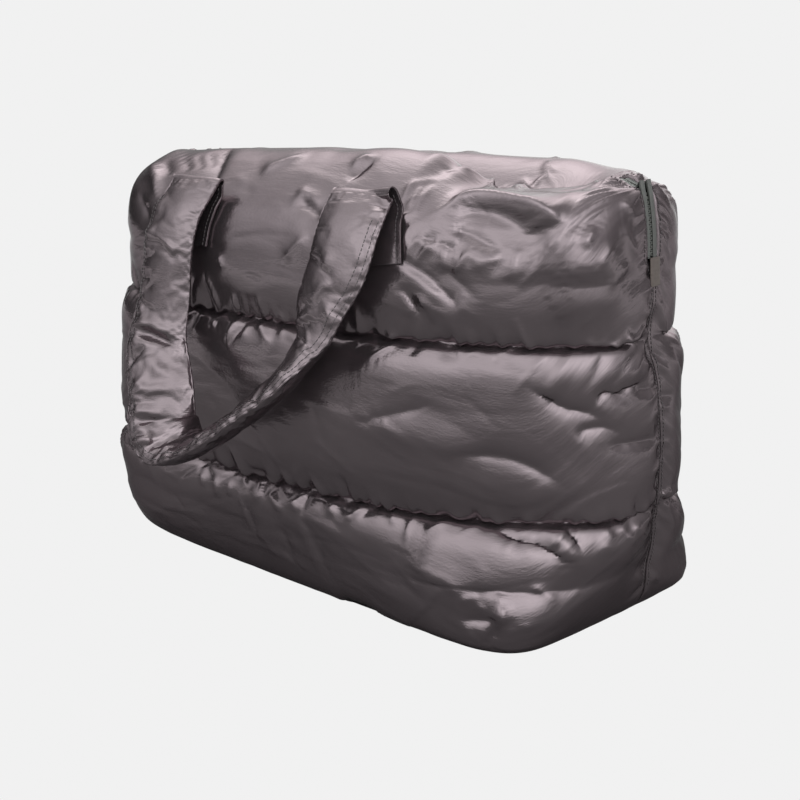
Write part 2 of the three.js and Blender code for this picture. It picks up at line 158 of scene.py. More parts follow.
def curvePoints(points, places):
    # centripetal curve through the points, places count in points
    pts = np.asarray(points, float)
    out = []
    for place in places:
        i = min(int(place), len(pts) - 2)
        w = place - i
        p1, p2 = pts[i], pts[i + 1]
        p0 = pts[i - 1] if i > 0 else 2 * p1 - p2
        p3 = pts[i + 2] if i + 2 < len(pts) else 2 * p2 - p1
        d0, d1, d2 = (max(np.linalg.norm(b - a), 1e-8) ** 0.5 for a, b in ((p0, p1), (p1, p2), (p2, p3)))
        t1 = d1 * ((p1 - p0) / d0 - (p2 - p0) / (d0 + d1) + (p2 - p1) / d1)
        t2 = d1 * ((p2 - p1) / d1 - (p3 - p1) / (d1 + d2) + (p3 - p2) / d2)
        out.append(p1 + t1 * w + (3 * (p2 - p1) - 2 * t1 - t2) * w * w + (2 * (p1 - p2) + t1 + t2) * w ** 3)
    return np.array(out)


def shellRows():
    rows = {key: [] for key in sectionColumns[1:-1] + leanColumns[1:] + ("place",)}
    leans = {row[0]: row[1:] for row in leanTable}
    level = (0,) * (len(leanColumns) - 1)
    for fromName, toName in channelEnds:
        first, last = sectionNames.index(fromName), sectionNames.index(toName)
        part = sectionTable[first:last + 1]
        steps = [row[-1] for row in part[:-1]]
        places = [k + step / steps[k] for k in range(len(steps)) for step in range(steps[k])] + [len(steps)]
        curve = curvePoints([(row[2], row[3], row[1]) for row in part], places)
        for k in range(1 if rows["z"] else 0, len(places)):
            low = min(int(places[k]), len(steps) - 1)
            share = places[k] - low
            rows["halfLength"].append(curve[k][0])
            rows["halfDepth"].append(curve[k][1])
            rows["z"].append(max(curve[k][2], 0))
            rows["place"].append(first + places[k])
            for n in range(sectionColumns.index("left"), len(sectionColumns) - 1):
                rows[sectionColumns[n]].append(part[low][n] + (part[low + 1][n] - part[low][n]) * share)
            below, above = leans.get(part[low][0], level), leans.get(part[low + 1][0], level)
            for n, column in enumerate(leanColumns[1:]):
                rows[column].append(below[n] + (above[n] - below[n]) * float(smoothStep(share, 0, 1)))
    return {key: np.array(value) for key, value in rows.items()}


def seamRow(rows, name):
    return int(np.argmin(np.abs(rows["place"] - sectionNames.index(name))))


def edgeDistance(z):
    t = np.clip((z - shell["zipFoot"]) / shell["zipFootBlend"], 0, 1)
    return shell["endGap"] + (shell["zipHalfWidth"] - shell["endGap"]) * t


def crestRise(x, side):
    table = np.array(crestTable, float)
    heights = table[:, 1 if side < 0 else 2] - sectionTable[sectionNames.index("crest")][1]
    k = np.clip(np.searchsorted(table[:, 0], x), 1, len(table) - 1)
    share = smoothStep((x - table[k - 1, 0]) / (table[k, 0] - table[k - 1, 0]), 0, 1)
    return heights[k - 1] + (heights[k] - heights[k - 1]) * share


def shellGrid(rows, side):
    # smooth outside of one half, rows by columns, with the way along each row
    angle = np.linspace(-math.pi / 2, math.pi / 2, shell["samples"])
    grid, alongs, reaches = [], [], []
    for i, z in enumerate(rows["z"]):
        power = 2 / np.where(angle < 0, rows["left"][i], rows["right" if side < 0 else "back"][i])
        edge = edgeDistance(z)
        bulge = np.maximum(np.cos(angle), 0) ** power
        bulge[[0, -1]] = 0
        x = rows["halfLength"][i] * np.sign(angle) * np.abs(np.sin(angle)) ** power
        y = edge + max(rows["halfDepth"][i] - edge, 0) * bulge
        length = np.concatenate(([0], np.cumsum(np.hypot(np.diff(x), np.diff(y)))))
        along = np.linspace(0, length[-1], shell["columns"] + 1)
        x, y = np.interp(along, length, x), np.interp(along, length, y)
        reach = np.minimum(along, length[-1] - along)
        pinch = shell["sidePinch"] * np.exp(-(reach / shell["pinchReach"]) ** 2)
        pinch *= smoothStep(z, *shell["pinchFrom"])
        pinch *= 1 - smoothStep(z, *shell["pinchTo"])
        share = x / rows["halfLength"][i]
        end = np.maximum(share, 0) ** 2
        plump = (y - edge) / max(rows["halfDepth"][i] - edge, 1e-6)
        splay = 1 + rows["splay"][i] * share if side < 0 else 1
        deep = side * y * splay + rows["turn"][i] * end * (1 - plump)
        tall = z + rows["ends"][i] * np.abs(share) ** 3 + rows["crest"][i] * crestRise(x, side)
        wide = x - np.sign(share) * pinch + rows["skew"][i] * deep * end
        grid.append(np.stack([wide, deep, tall], -1))
        alongs.append(along)
        reaches.append(reach)
    return np.array(grid), np.array(alongs), np.array(reaches)


def gridNormals(grid, side):
    return unit(np.cross(np.gradient(grid, axis=1), np.gradient(grid, axis=0)) * -side)


def gridFaces(rowCount, columnCount, flip=False):
    a = (np.arange(rowCount - 1)[:, None] * columnCount + np.arange(columnCount - 1)).ravel()
    quads = np.stack([a, a + 1, a + 1 + columnCount, a + columnCount], -1)
    return quads[:, ::-1] if flip else quads


def finerAxis(values, axis, wrap=False):
    # a smooth new point between each two neighbours
    v = np.moveaxis(np.asarray(values, float), axis, 0)
    if wrap:
        padded = np.concatenate((v[-1:], v, v[:2]))
    else:
        padded = np.concatenate((2 * v[:1] - v[1:2], v, 2 * v[-1:] - v[-2:-1]))
    between = (9 * (padded[1:-2] + padded[2:-1]) - padded[:-3] - padded[3:]) / 16
    out = np.empty((len(v) + len(between),) + v.shape[1:])
    out[0::2] = v
    out[1::2] = between
    return np.moveaxis(out, 0, axis)


def meshPiece(name, points, faces):
    mesh = bpy.data.meshes.new(name)
    mesh.from_pydata(np.asarray(points).reshape(-1, 3).tolist(), [], [list(map(int, face)) for face in faces])
    mesh.update()
    mesh.shade_smooth()
    piece = bpy.data.objects.new(name, mesh)
    scene.collection.objects.link(piece)
    return piece


def selectOnly(*pieces):
    bpy.ops.object.select_all(action="DESELECT")
    for piece in pieces:
        piece.select_set(True)
    bpy.context.view_layer.objects.active = pieces[0]


def faceOutward(piece, crispAngle):
    selectOnly(piece)
    bpy.ops.object.mode_set(mode="EDIT")
    bpy.ops.mesh.select_all(action="SELECT")
    bpy.ops.mesh.normals_make_consistent(inside=False)
    bpy.ops.object.mode_set(mode="OBJECT")
    bpy.ops.object.shade_smooth_by_angle(angle=crispAngle)
    piece.select_set(False)


def finishPiece(piece, node, material):
    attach(piece, "root")
    if node:
        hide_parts(node)
    piece.data.materials.clear()
    piece.data.materials.append(material)
    print(piece.name, "made,", len(piece.data.polygons), "faces")


def giveUv(piece, uv):
    # cloth map in metres along and up the cloth
    layer = piece.data.uv_layers.new(name="cloth")
    corner = np.zeros(len(piece.data.loops), np.int32)
    piece.data.loops.foreach_get("vertex_index", corner)
    layer.data.foreach_set("uv", (np.asarray(uv).reshape(-1, 2)[corner] * mm).astype(np.float32).ravel())


# the cloth of the panels and straps
nylonCloth = {"quality": 6, "mass": 0.25, "stretch": 18, "shear": 6, "damping": 2, "pin": 1}


def puffCloth(name, points, faces, hold, puff):
    # swells the cloth against its sewn points and gives their moves back
    piece = meshPiece(name, points * mm, faces)
    group = piece.vertex_groups.new(name="sewn")
    levels = np.round(np.clip(hold, 0, 1), 2).ravel()
    for level in np.unique(levels):
        if level > 0:
            group.add(np.nonzero(levels == level)[0].tolist(), float(level), "REPLACE")
    cloth = piece.modifiers.new("puff", "CLOTH")
    cloth.settings.quality = nylonCloth["quality"]
    cloth.settings.mass = nylonCloth["mass"]
    cloth.settings.tension_stiffness = nylonCloth["stretch"]
    cloth.settings.compression_stiffness = nylonCloth["stretch"]
    cloth.settings.shear_stiffness = nylonCloth["shear"]
    cloth.settings.bending_stiffness = puff["bend"]
    cloth.settings.air_damping = nylonCloth["damping"]
    cloth.settings.vertex_group_mass = "sewn"
    cloth.settings.pin_stiffness = nylonCloth["pin"]
    cloth.settings.use_pressure = True
    cloth.settings.uniform_pressure_force = puff["pressure"]
    cloth.settings.shrink_min = -puff["slack"]
    cloth.settings.effector_weights.gravity = 0
    cloth.collision_settings.use_collision = False
    cloth.point_cache.frame_start = 1
    cloth.point_cache.frame_end = puff["frames"]
    for number in range(1, puff["frames"] + 1):
        scene.frame_set(number)
    shaped = piece.evaluated_get(bpy.context.evaluated_depsgraph_get())
    end = np.zeros(points.size, np.float32)
    shaped.data.vertices.foreach_get("co", end)
    move = end.reshape(points.shape).astype(float) / mm - points
    bpy.data.objects.remove(piece)
    scene.frame_set(1)
    size = np.linalg.norm(move, axis=-1, keepdims=True)
    print(name, "puffed, mean move mm", round(float(size.mean()), 2), "most", round(float(size.max()), 1))
    return move * np.minimum(1, puff["cap"] / np.maximum(size, 1e-9))


def softened(values, passes):
    # broad part of a field over a grid, held at its edges
    out = values.copy()
    for _ in range(passes):
        out[1:-1] = (out[:-2] + 2 * out[1:-1] + out[2:]) / 4
        out[:, 1:-1] = (out[:, :-2] + 2 * out[:, 1:-1] + out[:, 2:]) / 4
    return out


foldLook = {
    "facing": 0.02,  # how squarely the cloth has to face the camera to carry a line
    "nearest": 4,  # points that place one pixel on the cloth
    "blur": 0.5,
    "steps": 9,  # between two pixels of a line
    "room": 3.5,  # widths at which a fold has died out
    "fade": 0.35,  # share of a line over which its ends run out
    "level": 0.2,  # cloth that lies flatter than this is pushed less
}


def foldHeights(points, normals, folds):
    # folds along lines of the photograph that run from left to right
    flat = points.reshape(-1, 3)
    pixels = toPixels(flat)
    seen = np.nonzero(normals.reshape(-1, 3) @ toCamera > foldLook["facing"])[0]
    height = np.zeros(len(flat))
    for at, line, over, under, tall, sharp in folds:
        spots = []
        for pixel in line:
            gap = ((pixels[seen] - pixel) ** 2).sum(1)
            pick = np.argpartition(gap, foldLook["nearest"])[:foldLook["nearest"]]
            share = 1 / (gap[pick] + foldLook["blur"])
            spots.append((flat[seen[pick]] * share[:, None]).sum(0) / share.sum())
        steps = foldLook["steps"] * (len(spots) - 1)
        track = curvePoints(spots, np.linspace(0, len(spots) - 1, steps + 1))
        middle = (track[0] + track[-1]) / 2
        room = np.linalg.norm(track - middle, axis=1).max() + foldLook["room"] * max(over, under)
        near = np.nonzero(((flat - middle) ** 2).sum(1) < room * room)[0]
        gap = np.linalg.norm(flat[near][:, None] - track[None], axis=-1)
        k = gap.argmin(1)
        trackPixels = toPixels(track)
        way = np.gradient(trackPixels, axis=0)[k]
        off = pixels[near] - trackPixels[k]
        wide = np.where(way[:, 0] * off[:, 1] - way[:, 1] * off[:, 0] > 0, under, over)
        end = np.minimum(k, steps - k) / steps
        height[near] += tall * np.exp(-(gap.min(1) / wide) ** sharp) * smoothStep(end, 0, foldLook["fade"])
    return height.reshape(points.shape[:-1])


def pushes(points, normals, folds, turned):
    # where the folds move the points: out from the surface, or level for a fold that hangs over
    level = normals * (1, 1, 0)
    level = level / np.maximum(np.linalg.norm(level, axis=-1, keepdims=True), foldLook["level"])
    out = normals * foldHeights(points * turned, normals * turned, folds["out"])[..., None]
    return out + level * foldHeights(points * turned, normals * turned, folds["level"])[..., None]


waveLook = {
    "phase": (0, 6),
    "drift": 1.3,
    "driftPitches": (4, 7),
    "steady": 0.6,  # the rest of the height comes and goes
    "swellPitches": (2.5, 4),
}


def waves(along, pitches, seed):
    # uneven ripples along a seam
    draw = np.random.default_rng(seed)

    def slowWave(pitch, spread):
        return np.sin(along / (pitch * draw.uniform(*spread)) + draw.uniform(*waveLook["phase"]))

    out = np.zeros_like(along)
    for pitch in pitches:
        drift = waveLook["drift"] * slowWave(pitch, waveLook["driftPitches"])
        swell = waveLook["steady"] + (1 - waveLook["steady"]) * slowWave(pitch, waveLook["swellPitches"])
        out += swell * np.sin(2 * math.pi * along / pitch + drift + draw.uniform(*waveLook["phase"]))
    return out / len(pitches)


wrinkleLook = {
    "sharp": 1.4,
    "bow": 0.12,  # how much a wrinkle curves
    "room": 4,  # widths at which it has died out
    "ridges": 0.6,  # share that stands up, the others are creases
    "sides": (0.5, 1.6),  # width of one side over that of the other
    "gatherSides": (0.6, 1.4),
    "gatherStart": 0.75,  # middle of a gather from its edge, in half lengths
    "gatherSpread": (0.45, 1.7),  # from gather to gather, in pitches
}


def wrinkleHeights(along, upward, wrinkles):
    # straight wrinkles laid on the flat cloth, each with its own slope on both sides
    height = np.zeros_like(along)
    for a, u, half, turn, wide, other, tall in wrinkles:
        room = half + wrinkleLook["room"] * wide
        near = np.nonzero((np.abs(along - a) < room) & (np.abs(upward - u) < room))
        da, du = along[near] - a, upward[near] - u
        t = da * math.cos(turn) + du * math.sin(turn)
        d = du * math.cos(turn) - da * math.sin(turn) + wrinkleLook["bow"] * t * t / half
        slope = np.exp(-(np.abs(d) / np.where(d > 0, wide, other)) ** wrinkleLook["sharp"])
        share = np.clip(1 - np.abs(t) / half, 0, 1)
        height[near] += tall * slope * share * (2 - share)
    return height


def ridgeOrCrease(draw, tall):
    return draw.uniform(*tall) * (1 if draw.random() < wrinkleLook["ridges"] else -1)


def scatterWrinkles(look, span, rise, step):
    # look gives count, half length, turn from level, widths and height of the wrinkles
    draw = np.random.default_rng(look["seed"] + step)
    out = []
    for _ in range(look["count"]):
        wide = draw.uniform(*look["wide"])
        tall = ridgeOrCrease(draw, look["tall"])
        turn = draw.normal(look["turn"], look["spread"])
        half = draw.uniform(*look["half"])
        a, u = draw.uniform(*span), draw.uniform(*rise)
        out.append((a, u, half, turn, wide, wide * draw.uniform(*wrinkleLook["sides"]), tall))
    return out


def rowWrinkles(look, length, sign, step, edge=((0,), (0,))):
    # short gathers that fan out from a sewn edge, edge gives places along it and their heights
    draw = np.random.default_rng(look["seed"] + step)
    out = []
    a = draw.uniform(0, look["pitch"])
    while a < length:
        half = draw.uniform(*look["half"])
        turn = math.pi / 2 + draw.normal(0, look["spread"])
        wide = draw.uniform(*look["wide"])
        tall = ridgeOrCrease(draw, look["tall"])
        u = np.interp(a, *edge) + sign * half * wrinkleLook["gatherStart"]
        out.append((a, u, half, turn, wide, wide * draw.uniform(*wrinkleLook["gatherSides"]), tall))
        a += look["pitch"] * draw.uniform(*wrinkleLook["gatherSpread"])
    return out


# padded panels
panelPuff = {
    "bend": 0.3,
    "pressure": 3.2,
    "slack": 0.04,
    "frames": 20,
    "cap": 14,
    "fill": 0.75,
    "swellPasses": 60,
    "finePasses": 3,
    "keepSwell": 0.12,  # share of the broad swelling that stays
    "keepFar": 0.18,  # share of the wrinkles that stays in the middle of a channel
    "keepNear": 0.8,  # and beside a seam
    "nearReach": 14,
}
seam = {
    "sink": 2.5,
    "sinkUnder": 2,
    "sinkReach": 7,
    "sinkSide": (0, 20),  # the seams fade towards the end seam
    "droop": 6,  # how far a channel sags over the seam under it
    "droopStart": 5,
    "droopAt": 9,
    "droopReach": 9,
    "droopSide": (4, 30),
    "plumpUnder": 5.5,  # how much fuller the channels are under a seam and over it
    "plumpOver": 2.5,
    "plumpStart": 8,
    "plumpAt": 20,
    "plumpReach": 21,
    "plumpSide": (4, 40),
    "uneven": 0.55,  # how much the hanging edge varies along a seam
    "unevenPitches": (11, 17, 29),
    "seed": 20,
}
# how far from the end seam, the sewn seams and the zip the folds and ripples reach their height
foldFade = {"side": 14, "seam": 9, "zip": 14}
rippleFade = {"side": 4, "seam": 5, "zip": 3}
gatherFade = 6
bellyWrinkles = {
    "count": 60,
    "half": (25, 85),
    "turn": -0.05,
    "spread": 0.2,
    "wide": (2.5, 6),
    "tall": (0.2, 0.65),
    "side": 30,
    "seed": 80,
}
shortWrinkles = {
    "count": 30,
    "half": (10, 24),
    "turn": -0.4,
    "spread": 0.5,
    "wide": (1.8, 3.6),
    "tall": (0.3, 0.9),
    "side": 20,
    "seed": 90,
}
wrinkleRoom = {"seam": 12, "base": 150, "zip": 60}  # left free of loose wrinkles
seamGathers = {
    "pitch": 17, "half": (6, 19), "spread": 0.7,
    "wide": (2.4, 4.2), "tall": (1.2, 3), "seed": 60,
}
sideGathers = {
    "pitch": 10, "half": (5, 16), "spread": 0.5,
    "wide": (2.4, 3.8), "tall": (0.8, 2.2), "seed": 35,
}
zipGathers = {
    "pitch": 10, "half": (7, 18), "spread": 0.4,
    "wide": (2.4, 4), "tall": (1, 2.6), "seed": 45,
}
sideFloor = (8, 30)  # heights between which the gathers of the end seam grow
calmMiddle = {"from": (-40, -10), "to": (235, 265), "less": 0.2}  # lower gathers here
# name, line in pixels of the photograph, width over the line and under it, height in mm, and
# sharpness, which is 2 for a round fold and near 1 for a crease
frontFolds = [
    ("pocketBrim", ((428, 222), (454, 207), (480, 197), (522, 203), (546, 209), (560, 221)), 16, 7, 7, 1.3),
    ("shelfCrease", ((431, 221), (461, 232), (485, 245), (510, 255)), 6, 7, -5.5, 1),
    ("lowCrease", ((411, 232), (440, 243), (464, 255)), 5, 7, -4.5, 1),
    ("lowLip", ((459, 255), (488, 261), (512, 256)), 8, 6, 2.5, 1.2),
    ("dragCrease", ((390, 254), (424, 277), (448, 300), (463, 310)), 9, 4, -6, 1),
    ("dragRidge", ((392, 263), (424, 285), (446, 307)), 4, 7, 3, 1),
    ("crossCrease", ((432, 262), (455, 281), (484, 306)), 6, 8, -4, 1),
    ("chestCrease", ((398, 283), (412, 303), (426, 322)), 6, 6, -3.5, 1),
    ("endBelly", ((540, 300), (585, 296), (630, 290)), 45, 18, 6, 2),
    ("sideLobe", ((578, 222), (584, 250), (580, 285)), 20, 24, 4, 2),
    ("topCrease", ((231, 146), (220, 163), (206, 199)), 5, 10, -6, 1),
    ("endCrest", ((150, 156), (155, 178), (162, 204)), 6, 6, 4, 1),
    ("bundleCrease", ((346, 182), (360, 169), (380, 156)), 4, 6, -4.5, 1),
    ("bundleRidge", ((350, 168), (362, 160), (374, 154)), 5, 4, 3, 1.1),
    ("topRoll", ((258, 175), (280, 165), (312, 155)), 12, 5, 4, 1.05),
    ("legCrease", ((296, 199), (310, 207), (325, 219)), 4, 5, -4.5, 1),
    ("legRidge", ((294, 190), (308, 196), (324, 206)), 5, 4, 3.5, 1),
    ("standingFlap", ((485, 194), (490, 183), (495, 172)), 4, 5, 6, 1.1),
    ("flapFoot", ((497, 192), (501, 182), (505, 174)), 4, 5, -4, 1.6),
    ("tuckedLoop", ((514, 195), (521, 189), (530, 188)), 5, 5, 4, 1.6),
    ("middleRoll", ((330, 411), (400, 434), (446, 445), (500, 443)), 20, 12, 3, 1.8),
    ("longDip", ((436, 460), (470, 456), (500, 459), (528, 467), (548, 478), (574, 493)), 9, 7, -4.2, 1.05),
    ("veeCrease", ((521, 383), (543, 396), (564, 408), (587, 413), (616, 425)), 6, 6, -5, 1),
    ("endCrease", ((591, 402), (600, 395), (609, 392), (620, 395), (642, 407)), 4, 6, -4.2, 1),
    ("endWedge", ((612, 394), (632, 386), (658, 372)), 6, 5, -4.6, 1),
    ("endHollow", ((632, 392), (645, 390), (658, 387)), 5, 4, -3.2, 1.5),
    ("midWedge", ((573, 440), (586, 431), (602, 428), (628, 434)), 4, 7, -4.2, 1),
    ("smileCrease", ((599, 448), (625, 445), (650, 441), (662, 434)), 7, 5, -5, 1),
    ("footCrease", ((485, 520), (500, 533), (515, 541), (541, 546), (561, 557), (580, 569)), 8, 8, -5.5, 1),
    ("footRidge", ((544, 525), (560, 543), (581, 568)), 6, 7, 4.5, 1),
    ("footLine", ((562, 525), (572, 540), (582, 554)), 4, 4, -2.5, 1),
    ("cornerEdge", ((396, 544), (420, 564), (437, 574), (454, 583), (458, 596), (462, 622)), 30, 24, 9, 1),
    ("cornerDent", ((459, 619), (480, 622), (503, 620)), 8, 5, -5, 1),
    ("cornerRidge", ((494, 588), (500, 606), (505, 628)), 4, 6, 3, 1),
    ("cornerFold", ((486, 652), (492, 637), (500, 623)), 5, 5, -3.5, 1),
    ("cornerLip", ((459, 603), (469, 599), (480, 597)), 3, 3, 2, 1),
    ("bottomNotch", ((336, 603), (358, 606), (384, 622)), 14, 14, -4, 1.8),
    ("longCrease", ((243, 490), (251, 515), (259, 542)), 6, 7, -2.5, 1.1),
    ("longCrease", ((302, 508), (316, 545), (332, 584)), 8, 8, -3, 1.1),
    ("longCrease", ((278, 520), (286, 540), (296, 566)), 7, 7, -2, 1.2),
    ("longFold", ((301, 512), (312, 545), (326, 580)), 9, 9, 2.5, 1.8),
    ("riseCrease", ((350, 425), (378, 418), (408, 411), (436, 404)), 5, 6, -3, 1),
    ("middleWave", ((352, 372), (420, 380), (500, 372)), 18, 16, 1.6, 2),
]
# small folds at the seams and ends, named for their places
frontGathers = [
    ("upperSeam", ((206, 266), (213, 286), (223, 306)), 3, 4, 3.2, 1.1),
    ("upperSeam", ((217, 252), (221, 262), (227, 270)), 3, 3.5, 2, 1.1),
    ("upperSeam", ((233, 290), (238, 300), (246, 310)), 3, 3.5, 2.3, 1.1),
    ("upperSeam", ((258, 293), (263, 303), (271, 313)), 3, 3.5, 2, 1.1),
    ("upperSeam", ((186, 322), (194, 313), (203, 308)), 3, 4, 2.9, 1.1),
    ("upperSeam", ((197, 335), (204, 323), (212, 313)), 3, 3.5, 2.6, 1.1),
    ("upperSeam", ((212, 329), (220, 320), (230, 312)), 3, 3.5, 2.9, 1.1),
    ("upperSeam", ((231, 347), (236, 328), (244, 313)), 3, 4, 3.2, 1.1),
    ("upperSeam", ((247, 344), (249, 330), (252, 318)), 3, 3.5, 2, 1.1),
    ("upperSeam", ((262, 318), (267, 333), (277, 350)), 4, 3.5, 2.9, 1.1),
    ("strapTop", ((400, 207), (407, 192), (416, 179)), 3, 3.5, 2.3, 1.1),
    ("strapTop", ((405, 217), (414, 200), (426, 182)), 3, 3.5, 2.3, 1.1),
    ("strapTop", ((412, 219), (423, 200), (437, 181)), 3, 3.5, 2, 1.1),
    ("chest", ((414, 235), (425, 245), (438, 256)), 4, 4, 2.3, 1.1),
    ("chest", ((400, 287), (408, 302), (419, 320)), 3, 5, 2.9, 1.1),
    ("chest", ((416, 292), (428, 305), (437, 322)), 3, 5, 2.6, 1.1),
    ("end", ((585, 250), (588, 238), (595, 224)), 3, 3.5, 2.2, 1.1),
    ("end", ((600, 270), (606, 256), (614, 242)), 3, 3.5, 2.2, 1.1),
    ("end", ((606, 292), (618, 276), (632, 262)), 4, 4, 2.3, 1.1),
    ("end", ((624, 224), (629, 240), (639, 259)), 3, 4, 2.6, 1.1),
    ("end", ((620, 198), (627, 206), (636, 215)), 3, 3.5, 2, 1.1),
    ("endSeam", ((612, 332), (617, 339), (624, 348)), 3, 3.5, 2.3, 1.1),
    ("endSeam", ((628, 328), (632, 338), (639, 350)), 3, 3.5, 2.6, 1.1),
    ("endSeam", ((641, 326), (645, 334), (651, 343)), 3, 3.5, 2.6, 1.1),
    ("endSeam", ((632, 334), (641, 326), (652, 318)), 3, 3.5, 2.3, 1.1),
    ("middle", ((498, 356), (509, 349), (523, 342)), 3, 3.5, 2.6, 1.1),
    ("middle", ((440, 352), (450, 355), (461, 353)), 6, 6, -1.8, 1.6),
    ("footTop", ((522, 508), (531, 513), (543, 517)), 3, 3.5, 2.3, 1.1),
    ("strapLeg", ((283, 262), (295, 248), (310, 234)), 5, 5, 3, 1.1),
    ("lowerSeam", ((205, 471), (207, 478), (209, 487)), 3, 3.5, 2, 1.1),
    ("lowerSeam", ((219, 475), (221, 486), (222, 499)), 3, 3.5, 2.3, 1.1),
    ("lowerSeam", ((233, 479), (234, 488), (234, 497)), 3, 3.5, 2, 1.1),
    ("lowerSeam", ((243, 484), (248, 508), (257, 538)), 4, 4, 2.9, 1.1),
    ("lowerSeam", ((256, 484), (259, 492), (264, 503)), 3, 3.5, 2, 1.1),
    ("lowerSeam", ((271, 487), (278, 498), (290, 515)), 4, 4, 2.6, 1.1),
    ("lowerSeam", ((297, 495), (298, 503), (301, 514)), 3, 3.5, 2, 1.1),
    ("lowerSeam", ((331, 500), (334, 507), (339, 519)), 3, 3.5, 2, 1.1),
    ("lowerSeam", ((349, 504), (351, 512), (355, 524)), 3, 3.5, 2, 1.1),
    ("lowerSeam", ((602, 524), (605, 532), (611, 540)), 3, 3.5, 1.9, 1.1),
    ("endFoot", ((618, 523), (624, 532), (632, 542)), 3, 3.5, 2.3, 1.1),
    ("endFoot", ((631, 520), (637, 528), (647, 538)), 3, 3.5, 2.6, 1.1),
    ("endFoot", ((640, 498), (648, 504), (656, 512)), 3, 3.5, 2, 1.1),
    ("pleat", ((151, 159), (156, 177), (157, 199)), 5, 5, 3, 1.1),
    ("pleat", ((165, 160), (168, 168), (171, 177)), 4, 4, -2.6, 1.1),
    ("pleat", ((184, 156), (187, 163), (191, 172)), 4, 4, -2.6, 1.1),
    ("pleat", ((197, 154), (200, 161), (204, 170)), 4, 4, -2.4, 1.1),
    ("pleat", ((210, 152), (212, 160), (215, 169)), 4, 4, -2.2, 1.1),
    ("pleat", ((138, 190), (144, 206), (151, 224)), 5, 6, -3, 1.1),
    ("corner", ((499, 606), (502, 615), (505, 626)), 4, 4, 2.9, 1.1),
    ("corner", ((486, 650), (491, 638), (499, 627)), 3, 4, -2.9, 1.1),
    ("corner", ((528, 584), (543, 593), (560, 601)), 4, 4, 2.3, 1.1),
]
# these hang over, so they are pushed level
pocketTop = ((430, 221), (454, 207), (480, 197), (522, 203), (546, 209), (558, 219), (563, 232))
pocketLow = ((434, 222), (455, 214), (476, 216), (500, 221), (519, 231), (540, 240), (556, 245))
pocketFolds = [
    ("pocketLip", pocketTop, 14, 16, 10, 1.6),
    ("pocketFoot", pocketLow, 14, 20, -12, 1.7),
]
backKept = (
    "middleRoll", "longDip", "veeCrease", "endCrease",
    "footCrease", "longCrease", "topRoll", "crossCrease",
)
backFolds = [fold for fold in frontFolds if fold[0] in backKept]
backGathers = [gather for gather in frontGathers if gather[0] in ("upperSeam", "lowerSeam")]


def fromSeams(upward, rows):
    return np.min([np.abs(upward - upward[row]) for row in rows], axis=0)


def fadeAtEdges(reach, away, upward, fade):
    sides = smoothStep(reach, 0, fade["side"]) * smoothStep(away, 0, fade["seam"])
    return sides * smoothStep(upward[-1] - upward, 0, fade["zip"])


def seamRelief(along, reach, upward, seams, side):
    # sunken stitch lines with fuller cloth beside them, and how much each point sags
    raised, sag = np.zeros((2, *along.shape))
    for number, row in enumerate(seams):
        above = upward - upward[row]
        far = np.abs(above)
        sink = np.where(above > 0, seam["sink"], seam["sinkUnder"]) * np.exp(-far / seam["sinkReach"])
        raised -= sink * smoothStep(reach, *seam["sinkSide"])
        plump = np.where(above > 0, seam["plumpOver"], seam["plumpUnder"])
        plump = plump * np.exp(-((far - seam["plumpAt"]) / seam["plumpReach"]) ** 2)
        raised += plump * smoothStep(far, 0, seam["plumpStart"]) * smoothStep(reach, *seam["plumpSide"])
        hang = np.exp(-((above - seam["droopAt"]) / seam["droopReach"]) ** 2)
        hang *= smoothStep(above, 0, seam["droopStart"]) * smoothStep(reach, *seam["droopSide"])
        sag += hang * (1 + seam["uneven"] * waves(along, seam["unevenPitches"], seam["seed"] + number + side))
    return raised, sag * seam["droop"]


def panelRipples(across, height, along, reach, upward, bounds, side):
    # gathers at the seams, the ends and the zip, and loose wrinkles on the channels
    length = float(along.max())
    gathers, wrinkles = [], []
    for number, row in enumerate(bounds[1:-1]):
        for sign in (-1, 1):
            step = 10 * number + 2 * sign + side
            gathers += rowWrinkles(seamGathers, length, sign, step, (along[row], upward[row]))
    for low, high in zip(bounds[:-1], bounds[1:]):
        bottom = upward[low].mean() + wrinkleRoom["seam" if low else "base"]
        top = upward[high].mean() - wrinkleRoom["zip" if high == bounds[-1] else "seam"]
        for look in (bellyWrinkles, shortWrinkles):
            span = (look["side"], length - look["side"])
            wrinkles += scatterWrinkles(look, span, (bottom, top), low // 2 + side)
    wrinkles += rowWrinkles(zipGathers, length, -1, side, (along[-1], upward[-1]))
    calm = smoothStep(across, *calmMiddle["from"]) * (1 - smoothStep(across, *calmMiddle["to"]))
    ripples = wrinkleHeights(along, upward, wrinkles)
    ripples += wrinkleHeights(along, upward, gathers) * (1 - calmMiddle["less"] * calm)
    for number, half in enumerate((along < length / 2, along > length / 2)):
        short = rowWrinkles(sideGathers, float(upward.max()), 1, 2 * number + side)
        beside = wrinkleHeights(upward, np.where(half, reach, reach + farOff), short)
        ripples += beside * smoothStep(height, *sideFloor)
    return ripples


